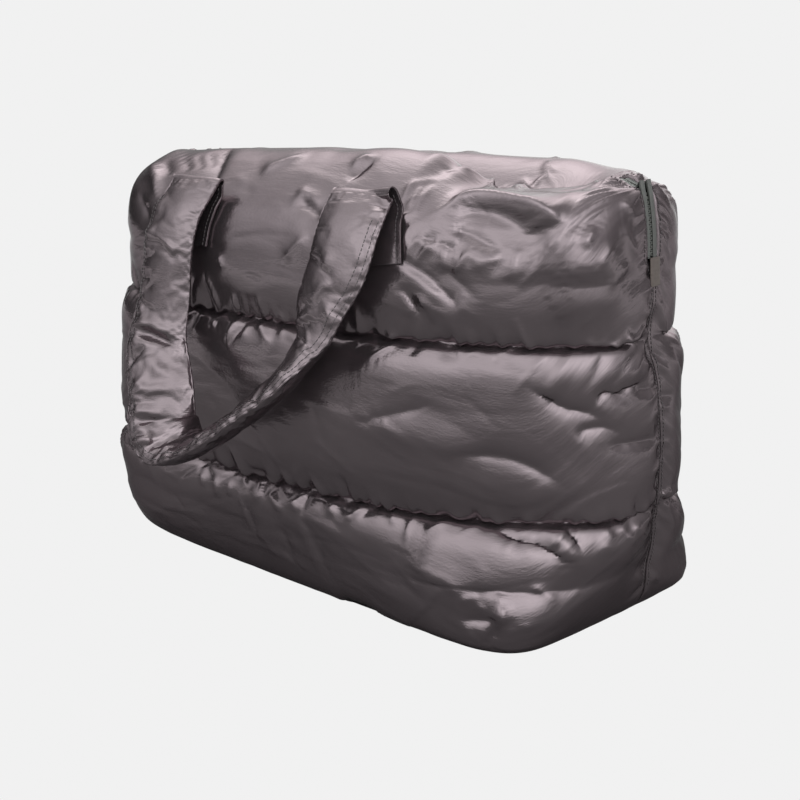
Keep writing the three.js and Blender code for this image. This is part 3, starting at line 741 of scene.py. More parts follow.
def addLining(outer, grid, reach, rows, bounds, side):
    # plain inside, joined to the outside along the edges
    step = shell["liningStep"]
    rowPick = np.unique(np.concatenate((np.arange(0, len(grid), step), bounds)))
    columnPick = np.arange(0, grid.shape[1], step)
    padding = rows["wall"][:, None]
    wall = np.minimum(shell["sideWall"], padding)
    wall = wall + (padding - wall) * smoothStep(reach, *shell["wallBlend"])
    inward = gridNormals(grid, side)
    inward[:, [0, -1], 1] = 0
    inner = (grid - unit(inward) * wall[..., None])[np.ix_(rowPick, columnPick)]
    faces = gridFaces(len(rowPick), len(columnPick), flip=side < 0)
    selectOnly(outer, meshPiece(outer.name + "_inside", inner * mm, faces))
    bpy.ops.object.join()
    bpy.ops.object.mode_set(mode="EDIT")
    bpy.ops.mesh.select_all(action="DESELECT")
    bpy.ops.mesh.select_mode(type="EDGE")
    bpy.ops.mesh.select_non_manifold(
        extend=False, use_wire=False, use_multi_face=False, use_non_contiguous=False, use_verts=False)
    bpy.ops.mesh.bridge_edge_loops()
    bpy.ops.object.mode_set(mode="OBJECT")
    bpy.ops.object.shade_smooth()
    outer.select_set(False)


def makePanel(name, side, node, folds, gathers, material):
    rows = shellRows()
    grid, along, reach = shellGrid(rows, side)
    turned = np.array((1, 1, 1) if side < 0 else (-1, -1, 1))
    normal = gridNormals(grid, side)
    seams = [seamRow(rows, "lowerSeam"), seamRow(rows, "upperSeam")]
    bounds = [0] + seams + [len(grid) - 1]
    channels = list(zip(bounds[:-1], bounds[1:]))
    climb = np.linalg.norm(np.diff(grid, axis=0), axis=-1).cumsum(0)
    upward = np.concatenate((np.zeros((1, grid.shape[1])), climb))
    away = fromSeams(upward, seams)
    lying = grid[..., 2] < shell["lying"]
    free = fadeAtEdges(reach, away, upward, foldFade)
    free[lying] = 0
    shape = grid
    start = grid + pushes(grid, normal, folds, turned) * free[..., None]
    hold = np.zeros(grid.shape[:2])
    hold[bounds] = 1
    hold[:, [0, -1]] = 1
    hold[lying] = 1
    move = puffCloth(name, start, gridFaces(*grid.shape[:2], flip=side > 0), hold, panelPuff)
    near = np.exp(-np.minimum(away, reach) / panelPuff["nearReach"])
    kept = panelPuff["keepFar"] + (panelPuff["keepNear"] - panelPuff["keepFar"]) * near
    for low, high in channels:
        broad = softened(move[low:high + 1], panelPuff["swellPasses"])
        fine = softened(move[low:high + 1] - broad, panelPuff["finePasses"])
        move[low:high + 1] = panelPuff["keepSwell"] * broad + fine * kept[low:high + 1, :, None]
    shape = grid + move

    def twiceAsFine(values):
        # the creases at the seams stay sharp
        spans = [finerAxis(values[low:high + 1], 0)[1 if low else 0:] for low, high in channels]
        return finerAxis(np.concatenate(spans), 1)

    lining = {"grid": grid, "reach": reach, "rows": rows, "bounds": bounds, "side": side}
    shape, normal, along, reach, upward, free = map(twiceAsFine, (shape, normal, along, reach, upward, free))
    shape = shape + pushes(shape, normal, folds, turned) * np.clip(free, 0, 1)[..., None]
    normal = gridNormals(shape, side)
    seams = [2 * row for row in seams]
    across, height = shape[..., 0] * turned[0], shape[..., 2]
    ripples = panelRipples(across, height, along, reach, upward, [2 * row for row in bounds], side)
    raised, sag = seamRelief(along, reach, upward, seams, side)
    raised += ripples * fadeAtEdges(reach, fromSeams(upward, seams), upward, rippleFade)
    raised += foldHeights(shape * turned, normal * turned, gathers) * smoothStep(reach, 0, gatherFade)
    raised[height < shell["lying"]] = 0
    shape = shape + normal * raised[..., None]
    shape[..., 2] = np.maximum(shape[..., 2] - sag, 0)
    outer = meshPiece(name, shape * mm, gridFaces(*shape.shape[:2], flip=side > 0))
    giveUv(outer, np.stack([along, upward], -1))
    addLining(outer, **lining)
    finishPiece(outer, node, material)
    return {"shape": shape, "normal": gridNormals(shape, side), "reach": reach, "upward": upward}


# padded strap handles
# name, place along the bag, height, distance from the shell, width direction and thickness
strapTable = [
    ("rightEnd", 94, 300, 3.1, (1, 0, 0), 4),
    ("rightSewn", 91, 318, 3.7, (1, 0, 0), 4),
    ("rightHem", 88, 330, 5.3, (1, 0, 0), 4),
    ("rightRise", 85, 341, 7.8, (1, 0, 0), 4.5),
    ("rightFold", 82, 353, 15, (1, 0.1, 0), 6),
    ("rightTop", 82, 344, 22, (1, 0.1, 0), 8),
    ("rightUpper", 83, 324, 21, (1, 0.06, 0), 14),
    ("rightChest", 80, 300, 21, (1, 0, 0), 18),
    ("rightWaist", 68, 271, 26, (1, -0.2, 0.05), 18),
    ("rightTwist", 59, 241, 34, (0.9, -0.55, 0.1), 18),
    ("rightHip", 45, 213, 37, (0.7, -0.85, 0.1), 18),
    ("rightKnee", 16, 184, 43, (0.45, -1, 0.05), 18),
    ("rightFoot", -22, 156, 51, (0.2, -1, -0.1), 17),
    ("loopFoot", -57, 141, 56, (-0.25, -1, -0.2), 15),
    ("leftFoot", -75, 155, 54, (-0.8, -0.7, -0.2), 16),
    ("leftKnee", -84, 182, 46, (-1, -0.45, -0.1), 18),
    ("leftKink", -104, 218, 38, (-1, -0.25, 0), 17),
    ("leftWaist", -107, 260, 29, (-1, -0.05, 0), 18),
    ("leftChest", -106, 298, 22, (-1, 0, 0), 18),
    ("leftUpper", -104, 324, 21, (-1, 0.02, 0), 14),
    ("leftTop", -101, 344, 22, (-1, 0.04, 0), 8),
    ("leftFold", -101, 353, 15, (-1, 0.04, 0), 6),
    ("leftRise", -102, 341, 7.8, (-1, 0, 0), 4.5),
    ("leftHem", -103, 330, 5.3, (-1, 0, 0), 4),
    ("leftSewn", -105, 318, 3.7, (-1, 0, 0), 4),
    ("leftEnd", -106, 300, 3.1, (-1, 0, 0), 4),
]
strap = {
    "width": 58,
    "around": 48,
    "perSpan": 12,
    "shellTop": 346,
    "wallFrom": 2,  # rows over the rounded base at which the upright wall begins
    "slopeStep": 12,
    "sewnReach": 8,
    "corner": 0.8,
    "lens": 2.6,
    "hemRound": 0.7,  # how thin the sewn edges run out
    "hemThickness": 0.9,
    "sewnTo": 4.5,  # in rows of the table from each end, as the next
    "looseFrom": (4, 6),
    "loopFrom": (8.5, 10),  # in rows from the right end, as the next
    "loopTo": (14, 15.5),
    "hold": 0.05,
    "hemHold": 0.6,
    "hemReach": 1.5,
    "bend": 0.25,
    "pressure": 2.4,
    "slack": 0.035,
    "frames": 16,
    "cap": 7,
    "keep": 0.55,
    "fill": 0.6,
    "puckerHeight": 0.5,
    "puckerReach": 6,
    "puckerPitches": (7, 10.5),
    "puckerSeed": 51,
}
hemGathers = {
    "pitch": 17, "half": (7, 19), "spread": 0.6,
    "wide": (2.8, 5), "tall": (1, 2.4), "seed": 55,
}
loopCrumples = {
    "pitch": 19, "half": (12, 24), "spread": 0.55,
    "wide": (3, 5), "tall": (1.6, 3.2), "seed": 58,
}
strapWrinkles = {
    "count": 40,
    "half": (12, 34),
    "turn": 0.9,
    "spread": 0.6,
    "wide": (2.2, 4.5),
    "tall": (0.3, 0.9),
    "side": 60,
    "hem": 4,
    "seed": 57,
}
strapFolds = [
    ("kinkCrease", ((119, 331), (142, 332), (160, 339), (179, 350)), 4, 5, -5, 1.5),
    ("kinkLip", ((119, 326), (142, 325), (160, 330), (179, 339)), 7, 3, 3.5, 1.6),
    ("kinkFoot", ((122, 338), (144, 342), (166, 350)), 4, 8, 3, 1.7),
    ("crumple", ((128, 366), (136, 356), (146, 350)), 4, 5, -2.5, 1.6),
    ("crumple", ((150, 352), (154, 366), (170, 380)), 6, 5, 3, 1.5),
    ("crumple", ((134, 378), (142, 386), (143, 396)), 4, 5, 3, 1.5),
    ("crumple", ((143, 392), (156, 388), (171, 386)), 4, 5, 2.5, 1.6),
    ("crumple", ((131, 412), (146, 412), (166, 416)), 5, 4, 3, 1.5),
    ("crumple", ((134, 424), (150, 420), (172, 420)), 5, 5, -2.5, 1.7),
    ("crumple", ((136, 422), (146, 432), (156, 444)), 4, 5, 3, 1.4),
    ("crumple", ((133, 442), (144, 441), (154, 443)), 3, 5, 2.5, 1.5),
    ("crumple", ((140, 455), (150, 452), (163, 448)), 4, 4, 2.5, 1.5),
    ("topDent", ((334, 197), (341, 205), (350, 198)), 6, 6, -3.5, 1.8),
    ("legPleat", ((162, 240), (170, 246), (176, 258)), 4, 4, 1.8, 1.6),
    ("legPleat", ((164, 232), (172, 240), (180, 254)), 3, 4, -1.8, 1.6),
    ("legPleat", ((338, 250), (330, 262), (322, 268)), 4, 5, 1.8, 1.6),
    ("legPleat", ((312, 300), (322, 288), (334, 282)), 4, 5, 2, 1.6),
    ("legPleat", ((296, 330), (306, 316), (318, 310)), 4, 5, 2, 1.6),
]


def shellDepth(grid, rows, side, x, z):
    # how far the smooth shell stands out from the middle plane
    wall = grid[seamRow(rows, "baseRound") + strap["wallFrom"]:]
    profile = np.array([[np.interp(x, line[:, 0], line[:, k]) for k in (1, 2)] for line in wall])
    k = max(int(np.argmax(profile[:, 1] >= z)), 1)
    share = (z - profile[k - 1, 1]) / (profile[k, 1] - profile[k - 1, 1])
    return side * (profile[k - 1, 0] + (profile[k, 0] - profile[k - 1, 0]) * share)


def strapFrames(side):
    # centre line, width direction, thickness direction and thickness at each step
    rows = shellRows()
    grid = shellGrid(rows, side)[0]
    turn = -side
    centres, leans = [], []
    for at, x, z, out, across, thick in strapTable:
        height = min(z, strap["shellTop"])
        centres.append((turn * x, side * (shellDepth(grid, rows, side, turn * x, height) + out), z))
        slope = 0
        if out < strap["sewnReach"]:
            step = strap["slopeStep"]
            after = shellDepth(grid, rows, side, turn * x + step, height)
            slope = (after - shellDepth(grid, rows, side, turn * x - step, height)) / (2 * step)
        lean = np.array((turn * across[0], turn * across[1] + side * slope * turn * across[0], across[2]))
        leans.append(unit(lean))
    count = len(strapTable)
    places = np.linspace(0, count - 1, (count - 1) * strap["perSpan"] + 1)
    path = curvePoints(centres, places)
    lean = curvePoints(leans, places)
    thick = np.interp(places, range(count), [row[5] for row in strapTable])
    along = unit(np.gradient(path, axis=0))
    flat = unit(np.cross(along, lean))
    return path, np.cross(flat, along), flat, thick, places


def ringNormals(rings):
    after, before = np.roll(rings, -1, 1), np.roll(rings, 1, 1)
    return unit(np.cross(after - before, np.gradient(rings, axis=0)))


def ringFaces(count, around):
    # closed tube with a cap at each end
    k, j = np.meshgrid(np.arange(count - 1), np.arange(around), indexing="ij")
    a, b = (k * around + j).ravel(), (k * around + (j + 1) % around).ravel()
    caps = [list(range(around))[::-1], list(range((count - 1) * around, count * around))]
    return np.stack([a, b, b + around, a + around], -1).tolist() + caps


def ringAngles(around):
    return 2 * math.pi * (np.arange(around) + 0.5) / around


def makeStrap(name, side, node, folds, material):
    path, wide, flat, thick, places = strapFrames(side)
    half = strap["width"] / 2
    angle = ringAngles(strap["around"])
    u = half * signPower(np.cos(angle), strap["corner"]) * np.ones((len(path), 1))
    lens = np.maximum(1 - np.abs(u / half) ** strap["lens"], 0) ** strap["hemRound"]
    v = np.sign(np.sin(angle)) * np.maximum(lens * thick[:, None] / 2, strap["hemThickness"])
    rings = path[:, None] + u[..., None] * wide[:, None] + v[..., None] * flat[:, None]
    away = np.minimum(places, places[-1] - places)
    hem = strap["hemHold"] * np.exp(-((half - np.abs(u)) / strap["hemReach"]) ** 2)
    hold = np.where(away[:, None] < strap["sewnTo"], 1, np.maximum(strap["hold"], hem))
    loose = smoothStep(away, *strap["looseFrom"])[:, None]
    normal = ringNormals(rings)
    shape = rings + normal * (foldHeights(rings, normal, folds) * loose)[..., None]
    move = puffCloth(name, shape, ringFaces(*shape.shape[:2]), hold, strap)
    shape = shape + strap["keep"] * move
    shape, u, v = (finerAxis(finerAxis(values, 0), 1, wrap=True) for values in (shape, u, v))
    length = np.concatenate(([0], np.linalg.norm(np.diff(path, axis=0), axis=1).cumsum()))
    total = float(length[-1])
    length = finerAxis(length, 0)[:, None] * np.ones_like(u)
    loose = finerAxis(loose, 0)
    places = finerAxis(places, 0)
    inside = half - u
    upperFace = np.where(v > 0, inside, inside + farOff)
    loop = smoothStep(places, *strap["loopFrom"]) * (1 - smoothStep(places, *strap["loopTo"]))
    ripples = waves(length, strap["puckerPitches"], strap["puckerSeed"])
    raised = strap["puckerHeight"] * np.exp(-inside / strap["puckerReach"]) * ripples
    span = (strapWrinkles["side"], total - strapWrinkles["side"])
    width = (strapWrinkles["hem"], strap["width"] - strapWrinkles["hem"])
    creases = rowWrinkles(hemGathers, total, 1, side) + scatterWrinkles(strapWrinkles, span, width, side)
    raised += wrinkleHeights(length, upperFace, creases)
    crumples = rowWrinkles(loopCrumples, total, 1, side)
    raised += wrinkleHeights(length, upperFace, crumples) * loop[:, None]
    shape = shape + ringNormals(shape) * (raised * loose)[..., None]
    piece = meshPiece(name, shape * mm, ringFaces(*shape.shape[:2]))
    giveUv(piece, np.stack([u, length], -1))
    finishPiece(piece, node, material)
    return {"shape": shape, "normal": ringNormals(shape), "u": u, "places": places}


# sewing thread, short rounded stitches along a line
stitch = {
    "pitch": 3.4,
    "long": 2.5,
    "radius": 0.36,
    "sides": 6,
    "lift": 0.15,
    "sideSeamIn": 3.5,
    "sideSeamFrom": 25,  # height at which the end seam's thread begins
    "zipIn": 3,
    "strapIn": (3, 7.5),
    "strapFrom": 5.5,  # in rows of the strap's table
    "patchIn": 4,  # the patch is the sewn end
    "patchTo": 3.6,
}
rodProfile = ((-0.5, 0.35), (-0.32, 1), (0.32, 1), (0.5, 0.35))  # share of the length and of the radius
lookAhead = 0.4  # gives the way of a line


def evenLine(points, normals, pitch):
    length = np.concatenate(([0], np.linalg.norm(np.diff(points, axis=0), axis=1).cumsum()))
    spots = np.arange(pitch / 2, length[-1], pitch)

    def along(values, shift=0):
        return np.stack([np.interp(spots + shift, length, values[:, k]) for k in range(3)], -1)

    place = along(points)
    return place, along(normals), unit(along(points, lookAhead) - place)


def smallRods(place, out, way, long, radius, sides):
    # one short rounded rod at each place, lying along its way
    across = unit(np.cross(out, way))
    out = np.cross(way, across)
    turn = 2 * math.pi * np.arange(sides) / sides
    ring = np.cos(turn)[None, :, None] * across[:, None] + np.sin(turn)[None, :, None] * out[:, None]
    rings = [(place + way * share * long)[:, None] + ring * radius * thick for share, thick in rodProfile]
    points = np.concatenate(rings, 1)
    each = points.shape[1]
    rod = []
    for first in range(0, each - sides, sides):
        for j in range(sides):
            a, b = first + j, first + (j + 1) % sides
            rod.append((a, b, b + sides, a + sides))
    rod.append(tuple(range(sides))[::-1])
    rod.append(tuple(range(each - sides, each)))
    faces = [[k * each + corner for corner in face] for k in range(len(place)) for face in rod]
    return points.reshape(-1, 3), faces


def threadLine(shape, normal, coords, target):
    # where a coordinate that rises along each row has the target value, and the normals there
    return [
        np.array([[np.interp(target, c, row[:, k]) for k in range(3)] for row, c in zip(values, coords)])
        for values in (shape, normal)
    ]


def panelThread(made):
    shape, normal, reach = made["shape"], made["normal"], made["reach"]
    middle = shape.shape[1] // 2
    found = []
    for way in (1, -1):
        ends = [values[:, ::way][:, :middle] for values in (shape, normal, reach)]
        line, out = threadLine(*ends, stitch["sideSeamIn"])
        tall = line[:, 2] > stitch["sideSeamFrom"]
        found.append((line[tall], out[tall]))
    below = (made["upward"][-1] - made["upward"])[::-1]
    upright = [values[::-1].transpose(1, 0, 2) for values in (shape, normal)]
    return found + [threadLine(*upright, below.T, stitch["zipIn"])]


def strapThread(made):
    shape, normal, places = made["shape"], made["normal"], made["places"]
    inside, outside = strap["width"] / 2 - made["u"], strap["width"] / 2 + made["u"]
    quarter = shape.shape[1] // 4
    away = np.minimum(places, places[-1] - places)
    loop = away > stitch["strapFrom"]
    hem = slice(0, quarter)
    rows = [values[loop, hem] for values in (shape, normal, inside)]
    found = [threadLine(*rows, gap) for gap in stitch["strapIn"]]
    # the sewn ends have a line along both hems of their lower face
    rightHem, leftHem = slice(-1, -1 - quarter, -1), slice(2 * quarter, 3 * quarter)
    for rim, hem in ((inside, rightHem), (outside, leftHem)):
        for end in (places < stitch["patchTo"], places > places[-1] - stitch["patchTo"]):
            found.append(threadLine(shape[end, hem], normal[end, hem], rim[end, hem], stitch["patchIn"]))
    return found


def makeStitches(found, material):
    lines = [evenLine(line, out, stitch["pitch"]) for line, out in found]
    place, out, way = (np.concatenate(values) for values in zip(*lines))
    out = unit(out)
    lifted = place + out * stitch["lift"]
    points, faces = smallRods(lifted, out, way, stitch["long"], stitch["radius"], stitch["sides"])
    finishPiece(meshPiece("stitches", points * mm, faces), None, material)


# zip
teeth = {"depth": 2, "pitch": 1.7, "long": 4.6, "radius": 0.62, "sides": 6, "slant": 0.25}
tab = {
    "low": 284,
    "high": 306,
    "halfWidth": 7,
    "thickness": 2.2,
    "gap": 0.3,  # to the cloth under it
    "steps": 25,
    "around": 40,
    "squareWide": 0.35,
    "squareThick": 0.45,
    "endPinch": 0.75,
    "pinchWide": 0.2,
    "inset": 0.15,
    "ripple": 0.12,
    "rippleTurn": 1.9,
    "crisp": 0.9,
}
slider = {
    "height": 324,
    "halfSpan": 9,
    "bevelSteps": 3,
    "crisp": 0.6,
    # middle, size and bevel, out from the bag's end, across it and up it
    "body": ((0.9, 0, 0), (1.8, 8, 15), 0.7),
    "cover": ((3.4, 0, 1), (1.2, 6.4, 12), 0.5),
    "bridge": ((2.6, 0, 2), (3, 2, 9), 0.5),
    "pull": ((4.1, 0, -18), (1.4, 5.4, 28), 0.6),
}


def zipPath():
    rows = shellRows()
    grid = shellGrid(rows, -1)[0]
    foot = shell["zipFoot"] + shell["zipFootBlend"]
    rise = [i for i in range(seamRow(rows, "upperSeam"), len(grid) - 1) if rows["z"][i] > foot]
    line = np.concatenate((grid[rise, -1], grid[-1, ::-1], grid[rise[::-1], 0]))
    return line * (1, 0, 1)


def endPath(sign, low, high, count):
    rows = shellRows()
    edge = shellGrid(rows, -1)[0][seamRow(rows, "upperSeam"):seamRow(rows, "crest"), -1 if sign > 0 else 0]
    heights = np.linspace(low, high, count)
    return np.stack([np.interp(heights, edge[:, 2], edge[:, 0]), np.zeros(count), heights], -1)


def makeTeeth(material):
    line = zipPath()
    out = unit(np.cross((0, 1, 0), np.gradient(line, axis=0)))
    place, out, way = evenLine(line - out * teeth["depth"], out, teeth["pitch"])
    lean = np.where(np.arange(len(place)) % 2, 1, -1)[:, None] * teeth["slant"]
    across = unit(np.array((0, 1, 0)) + way * lean)
    points, faces = smallRods(place, out, across, teeth["long"], teeth["radius"], teeth["sides"])
    finishPiece(meshPiece("zip_teeth", points * mm, faces), "zip_coil", material)


def makeTab(name, sign, node, material):
    # folded fabric tab with rounded edges that lies on the end of the zip
    path = endPath(sign, tab["low"], tab["high"], tab["steps"])
    out = unit(np.cross((0, sign, 0), np.gradient(path, axis=0)))
    angle = ringAngles(tab["around"])
    u = signPower(np.cos(angle), tab["squareWide"]) * tab["halfWidth"]
    v = signPower(np.sin(angle), tab["squareThick"])
    rings = []
    for k in range(tab["steps"]):
        pinch = tab["endPinch"] if k in (0, tab["steps"] - 1) else 1
        ripple = tab["ripple"] * math.sin(k * tab["rippleTurn"])
        high = tab["gap"] + tab["thickness"] / 2 + ripple * (v > 0)
        high = high + v * pinch * (tab["thickness"] / 2 - tab["inset"])
        level = np.stack([np.zeros_like(u), u * pinch ** tab["pinchWide"], np.zeros_like(u)], -1)
        rings.append(path[k] + level + high[:, None] * out[k])
    rings = np.array(rings)
    piece = meshPiece(name, rings * mm, ringFaces(*rings.shape[:2]))
    faceOutward(piece, tab["crisp"])
    finishPiece(piece, node, material)


def makeSlider(material):
    # modelled lying at the origin, then stood on the bag's far end
    made = []
    for name in ("body", "cover", "bridge", "pull"):
        place, size, edge = slider[name]
        bpy.ops.object.select_all(action="DESELECT")
        bpy.ops.mesh.primitive_cube_add(size=1, location=[c * mm for c in place])
        piece = bpy.context.object
        piece.scale = [c * mm for c in size]
        bpy.ops.object.transform_apply(location=True, rotation=True, scale=True)
        bevel = piece.modifiers.new("edges", "BEVEL")
        bevel.width = edge * mm
        bevel.segments = slider["bevelSteps"]
        bpy.ops.object.modifier_apply(modifier="edges")
        made.append(piece)
    selectOnly(*made)
    bpy.ops.object.join()
    piece = made[0]
    piece.name = "zip_slider_dressed"
    low, high = endPath(-1, slider["height"] - slider["halfSpan"], slider["height"] + slider["halfSpan"], 2)
    up = unit(high - low)
    out = np.cross((0, -1, 0), up)
    points = np.array([vertex.co for vertex in piece.data.vertices])
    placed = (low + high) / 2 * mm + points @ np.array((out, (0, -1, 0), up))
    piece.data.vertices.foreach_set("co", placed.ravel())
    piece.data.update()
    faceOutward(piece, slider["crisp"])
    finishPiece(piece, "zip_slider", material)


# materials
def feed(tree, node, inputs):
    # an input is a plain value or the socket that drives it
    for key, value in inputs.items():
        if isinstance(value, bpy.types.NodeSocket):
            tree.links.new(value, node.inputs[key])
        else:
            node.inputs[key].default_value = value


def addNode(tree, kind, inputs=None, **settings):
    node = tree.nodes.new("ShaderNode" + kind)
    for key, value in settings.items():
        setattr(node, key, value)
    feed(tree, node, inputs or {})
    return node


def newMaterial(name):
    material = bpy.data.materials.new(name)
    material.use_nodes = True
    return material, material.node_tree, material.node_tree.nodes["Principled BSDF"]


def mixedColor(tree, factor, first, second):
    inputs = {"Factor": factor, "A": (*first, 1), "B": (*second, 1)}
    return addNode(tree, "Mix", inputs, data_type="RGBA").outputs["Result"]


def bumped(tree, height, strength, distance):
    inputs = {"Height": height, "Strength": strength, "Distance": distance}
    return addNode(tree, "Bump", inputs).outputs["Normal"]


nylonLook = {
    "color": (0.225, 0.188, 0.2),
    "deep": (0.185, 0.153, 0.164),
    "metallic": 0.88,
    "smooth": 0.16,
    "rough": 0.24,
    "patchSize": 14,
    "patchRange": (0.3, 0.7),
    "edge": (0.42, 0.4, 0.41),  # how much the cloth mirrors where it is seen at a slant
    "bump": 0.3,
    "bumpDepth": 0.0012,
    "crumple": (38, 150, 60),  # stretch of the coarse grain and of the weave
    "weave": (420, 700, 500),
    "weaveShare": 0.35,
    "weaveDetail": 2,
    "crumpleDetail": 4,
    "patchDetail": 3,
}


def makeGrainGroup():
    # fine cloth grain: a height for bumps and a share that varies the look
    group = bpy.data.node_groups.new("clothGrain", "ShaderNodeTree")
    group.interface.new_socket("Vector", in_out="INPUT", socket_type="NodeSocketVector")
    group.interface.new_socket("Height", in_out="OUTPUT", socket_type="NodeSocketFloat")
    group.interface.new_socket("Patch", in_out="OUTPUT", socket_type="NodeSocketFloat")
    place = group.nodes.new("NodeGroupInput").outputs["Vector"]

    def grain(stretch, detail):
        lay = addNode(group, "Mapping", {"Vector": place, "Scale": stretch}).outputs["Vector"]
        return addNode(group, "TexNoise", {"Vector": lay, "Scale": 1, "Detail": detail}).outputs["Fac"]

    weave = grain(nylonLook["weave"], nylonLook["weaveDetail"])
    crumple = grain(nylonLook["crumple"], nylonLook["crumpleDetail"])
    inputs = {0: weave, 1: nylonLook["weaveShare"], 2: crumple}
    height = addNode(group, "Math", inputs, operation="MULTIPLY_ADD").outputs["Value"]
    inputs = {"Vector": place, "Scale": nylonLook["patchSize"], "Detail": nylonLook["patchDetail"]}
    patch = addNode(group, "TexNoise", inputs).outputs["Fac"]
    feed(group, group.nodes.new("NodeGroupOutput"), {"Height": height, "Patch": patch})
    return group


def makeNylon():
    material, tree, shader = newMaterial("satinNylon")
    cloth = addNode(tree, "Group", node_tree=makeGrainGroup())
    feed(tree, cloth, {"Vector": addNode(tree, "TexCoord").outputs["UV"]})
    patch = cloth.outputs["Patch"]
    low, high = nylonLook["patchRange"]
    sheen = addNode(tree, "MapRange", {
        "Value": patch,
        "From Min": low,
        "From Max": high,
        "To Min": nylonLook["smooth"],
        "To Max": nylonLook["rough"],
    })
    feed(tree, shader, {
        "Base Color": mixedColor(tree, patch, nylonLook["deep"], nylonLook["color"]),
        "Roughness": sheen.outputs["Result"],
        "Metallic": nylonLook["metallic"],
        "Specular Tint": (*nylonLook["edge"], 1),
        "Normal": bumped(tree, cloth.outputs["Height"], nylonLook["bump"], nylonLook["bumpDepth"]),
    })
    return material


tapeLook = {
    "dark": (0.045, 0.047, 0.042),
    "light": (0.105, 0.108, 0.1),
    "ribs": 260,
    "waver": 0.6,
    "bump": 0.5,
    "bumpDepth": 0.0006,
    "rough": 0.62,
    "sheen": 0.2,
}


def makeTapeCloth():
    # woven zip tape, grey with a green cast
    material, tree, shader = newMaterial("zipTape")
    place = addNode(tree, "TexCoord").outputs["Object"]
    inputs = {"Vector": place, "Scale": tapeLook["ribs"], "Distortion": tapeLook["waver"]}
    rib = addNode(tree, "TexWave", inputs, wave_type="BANDS", bands_direction="Y").outputs["Fac"]
    feed(tree, shader, {
        "Base Color": mixedColor(tree, rib, tapeLook["dark"], tapeLook["light"]),
        "Roughness": tapeLook["rough"],
        "Sheen Weight": tapeLook["sheen"],
        "Normal": bumped(tree, rib, tapeLook["bump"], tapeLook["bumpDepth"]),
    })
    return material


speckle = {"scale": 350, "dark": 0.75, "light": 1.2}


def makePlain(name, color, roughness, metallic):
    # small parts with a slight change of tone over them
    material, tree, shader = newMaterial(name)
    place = addNode(tree, "TexCoord").outputs["Object"]
    spots = addNode(tree, "TexNoise", {"Vector": place, "Scale": speckle["scale"]}).outputs["Fac"]
    dark, light = ([c * speckle[share] for c in color] for share in ("dark", "light"))
    feed(tree, shader, {
        "Base Color": mixedColor(tree, spots, dark, light),
        "Roughness": roughness,
        "Metallic": metallic,
    })
    return material


nylon = makeNylon()
tapeCloth = makeTapeCloth()
toothPlastic = makePlain("zipTeeth", (0.12, 0.125, 0.115), roughness=0.4, metallic=0.1)
sliderMetal = makePlain("zipMetal", (0.3, 0.29, 0.28), roughness=0.32, metallic=0.9)
tabCloth = makePlain("tabCloth", (0.13, 0.105, 0.095), roughness=0.6, metallic=0.1)
threadLook = makePlain("thread", (0.09, 0.078, 0.082), roughness=0.55, metallic=0.2)

frontLines = {"out": frontFolds, "level": pocketFolds}
backLines = {"out": backFolds, "level": []}
front = makePanel("front_panel_puffed", -1, "front_panel", frontLines, frontGathers, nylon)
back = makePanel("back_panel_puffed", 1, "back_panel", backLines, backGathers, nylon)
frontStrap = makeStrap("handle_front_puffed", -1, "handle_front", strapFolds, nylon)
backStrap = makeStrap("handle_back_puffed", 1, "handle_back", [], nylon)
thread = panelThread(front) + panelThread(back) + strapThread(frontStrap) + strapThread(backStrap)
makeStitches(thread, threadLook)
makeTeeth(toothPlastic)
makeTab("zip_tab_right", 1, "zip_end_right", tabCloth)
makeTab("zip_tab_left", -1, "zip_end_left", tabCloth)
makeSlider(sliderMetal)
for node in ("zip_tape_front", "zip_tape_back"):
    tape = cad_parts[node]
    tape.data.materials.clear()
    tape.data.materials.append(tapeCloth)

# floor, world and lights
stageLook = {
    "pale": 0.879,  # the photograph's even background
    "floorSize": 8,
    "floorPaintedShadow": 0.19,  # what the floor gives back close to the bag, painted dark there as painted shadow of the bag, and far from it
    "floorFar": 0.62,
    "floorReach": (0.65, 2.8),
    "floorRough": 0.9,
    "floorMirror": 0.1,
    "zenith": 0.45,
    "horizon": 0.22,
    "ground": 0.15,
    "horizonAt": 0.56,  # height of the horizon's tone and of the ground's, from straight down to straight up
    "groundAt": 0.45,
}


def gray(tone):
    return (tone, tone, tone, 1)


bpy.ops.object.select_all(action="DESELECT")
bpy.ops.mesh.primitive_plane_add(size=stageLook["floorSize"], location=(0, 0, 0))
floor = bpy.context.object
floor.name = "studio_floor"
floorLook, tree, shader = newMaterial("paleFloor")
spot = addNode(tree, "TexCoord").outputs["Object"]
fromBag = addNode(tree, "VectorMath", {0: spot}, operation="LENGTH").outputs["Value"]
# painted shadow: the floor's tone runs from dark close to the bag to pale far from it, standing in for the
# bag's shade in what the floor gives back to the bag
tone = addNode(tree, "MapRange", {
    "Value": fromBag,
    "From Min": stageLook["floorReach"][0],
    "From Max": stageLook["floorReach"][1],
    "To Min": stageLook["floorPaintedShadow"],
    "To Max": stageLook["floorFar"],
})
feed(tree, shader, {
    "Base Color": tone.outputs["Result"],
    "Roughness": stageLook["floorRough"],
    "Specular IOR Level": stageLook["floorMirror"],
})
glow = addNode(tree, "Emission", {"Color": gray(stageLook["pale"])}).outputs["Emission"]
toEye = addNode(tree, "LightPath").outputs["Is Camera Ray"]
seen = addNode(tree, "MixShader", {"Fac": toEye, 1: shader.outputs["BSDF"], 2: glow}).outputs["Shader"]
feed(tree, tree.nodes["Material Output"], {"Surface": seen})
floor.data.materials.append(floorLook)

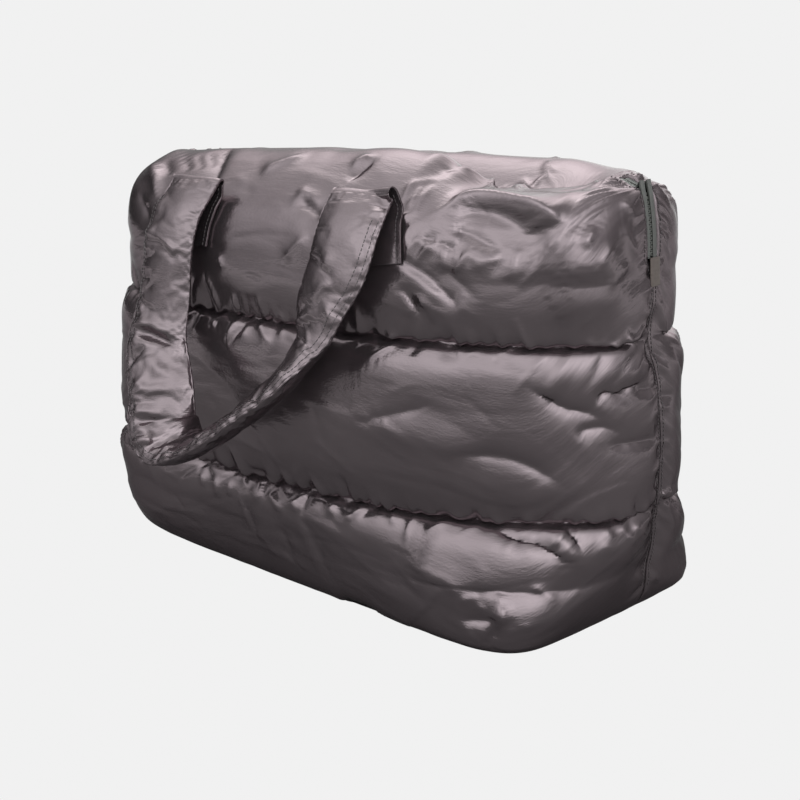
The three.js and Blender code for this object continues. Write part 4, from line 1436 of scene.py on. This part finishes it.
# soft light from all round: name, azimuth, elevation, strength, focus and colour
lightTable = [
    ("topBehind", -138, 47, 4.6, 14, (0.97, 1, 0.97)),
    ("behind", -166, 18, 3.6, 18, (0.97, 1, 0.97)),
    ("leftHigh", -42, 48, 0.85, 6, (0.97, 1, 1)),
    ("middleHigh", 4, 34, 1.3, 6, (0.97, 1, 1)),
    ("rightFront", 66, 28, 2.3, 8, (0.97, 1, 1)),
    ("leftFlag", -94, 16, -0.22, 6, (1, 1, 1)),
]
world = bpy.data.worlds.new("studio")
scene.world = world
world.use_nodes = True
tree = world.node_tree
place = addNode(tree, "TexCoord").outputs["Generated"]
height = addNode(tree, "SeparateXYZ", {"Vector": place}).outputs["Z"]
shift = addNode(tree, "MapRange", {"Value": height, "From Min": -1}).outputs["Result"]
ramp = addNode(tree, "ValToRGB", {"Fac": shift})
ground, zenith = ramp.color_ramp.elements
ground.position = stageLook["groundAt"]
ground.color = gray(stageLook["ground"])
zenith.position = 1
zenith.color = gray(stageLook["zenith"])
ramp.color_ramp.elements.new(stageLook["horizonAt"]).color = gray(stageLook["horizon"])
total = ramp.outputs["Color"]
for name, around, up, strength, focus, color in lightTable:
    inputs = {0: place, 1: direction(around, up).tolist()}
    facing = addNode(tree, "VectorMath", inputs, operation="DOT_PRODUCT").outputs["Value"]
    fall = addNode(tree, "Math", {0: facing, 1: focus, 2: -focus}, operation="MULTIPLY_ADD").outputs["Value"]
    lobe = addNode(tree, "Math", {0: fall}, operation="EXPONENT").outputs["Value"]
    inputs = {0: [c * strength for c in color], "Scale": lobe}
    tint = addNode(tree, "VectorMath", inputs, operation="SCALE").outputs["Vector"]
    total = addNode(tree, "VectorMath", {0: total, 1: tint}, operation="ADD").outputs["Vector"]
toEye = addNode(tree, "LightPath").outputs["Is Camera Ray"]
inputs = {"Factor": toEye, "A": total, "B": gray(stageLook["pale"])}
even = addNode(tree, "Mix", inputs, data_type="RGBA").outputs["Result"]
feed(tree, tree.nodes["Background"], {"Color": even, "Strength": 1})
print("stage lit")

cameraData = bpy.data.cameras.new("photoCamera")
camera = bpy.data.objects.new("photoCamera", cameraData)
scene.collection.objects.link(camera)
camera.location = Vector(cameraSpot) * mm
camera.rotation_euler = Vector(-toCamera).to_track_quat("-Z", "Y").to_euler()
cameraData.sensor_width = view["sensor"]
cameraData.lens = view["focal"] / view["frame"] * view["sensor"]
cameraData.shift_x = 0.5 - view["middle"][0] / view["frame"]
cameraData.shift_y = view["middle"][1] / view["frame"] - 0.5
cameraData.clip_start = view["near"]
scene.camera = camera
scene.view_settings.view_transform = "Standard"

bpy.context.view_layer.update()
print("scene ready")
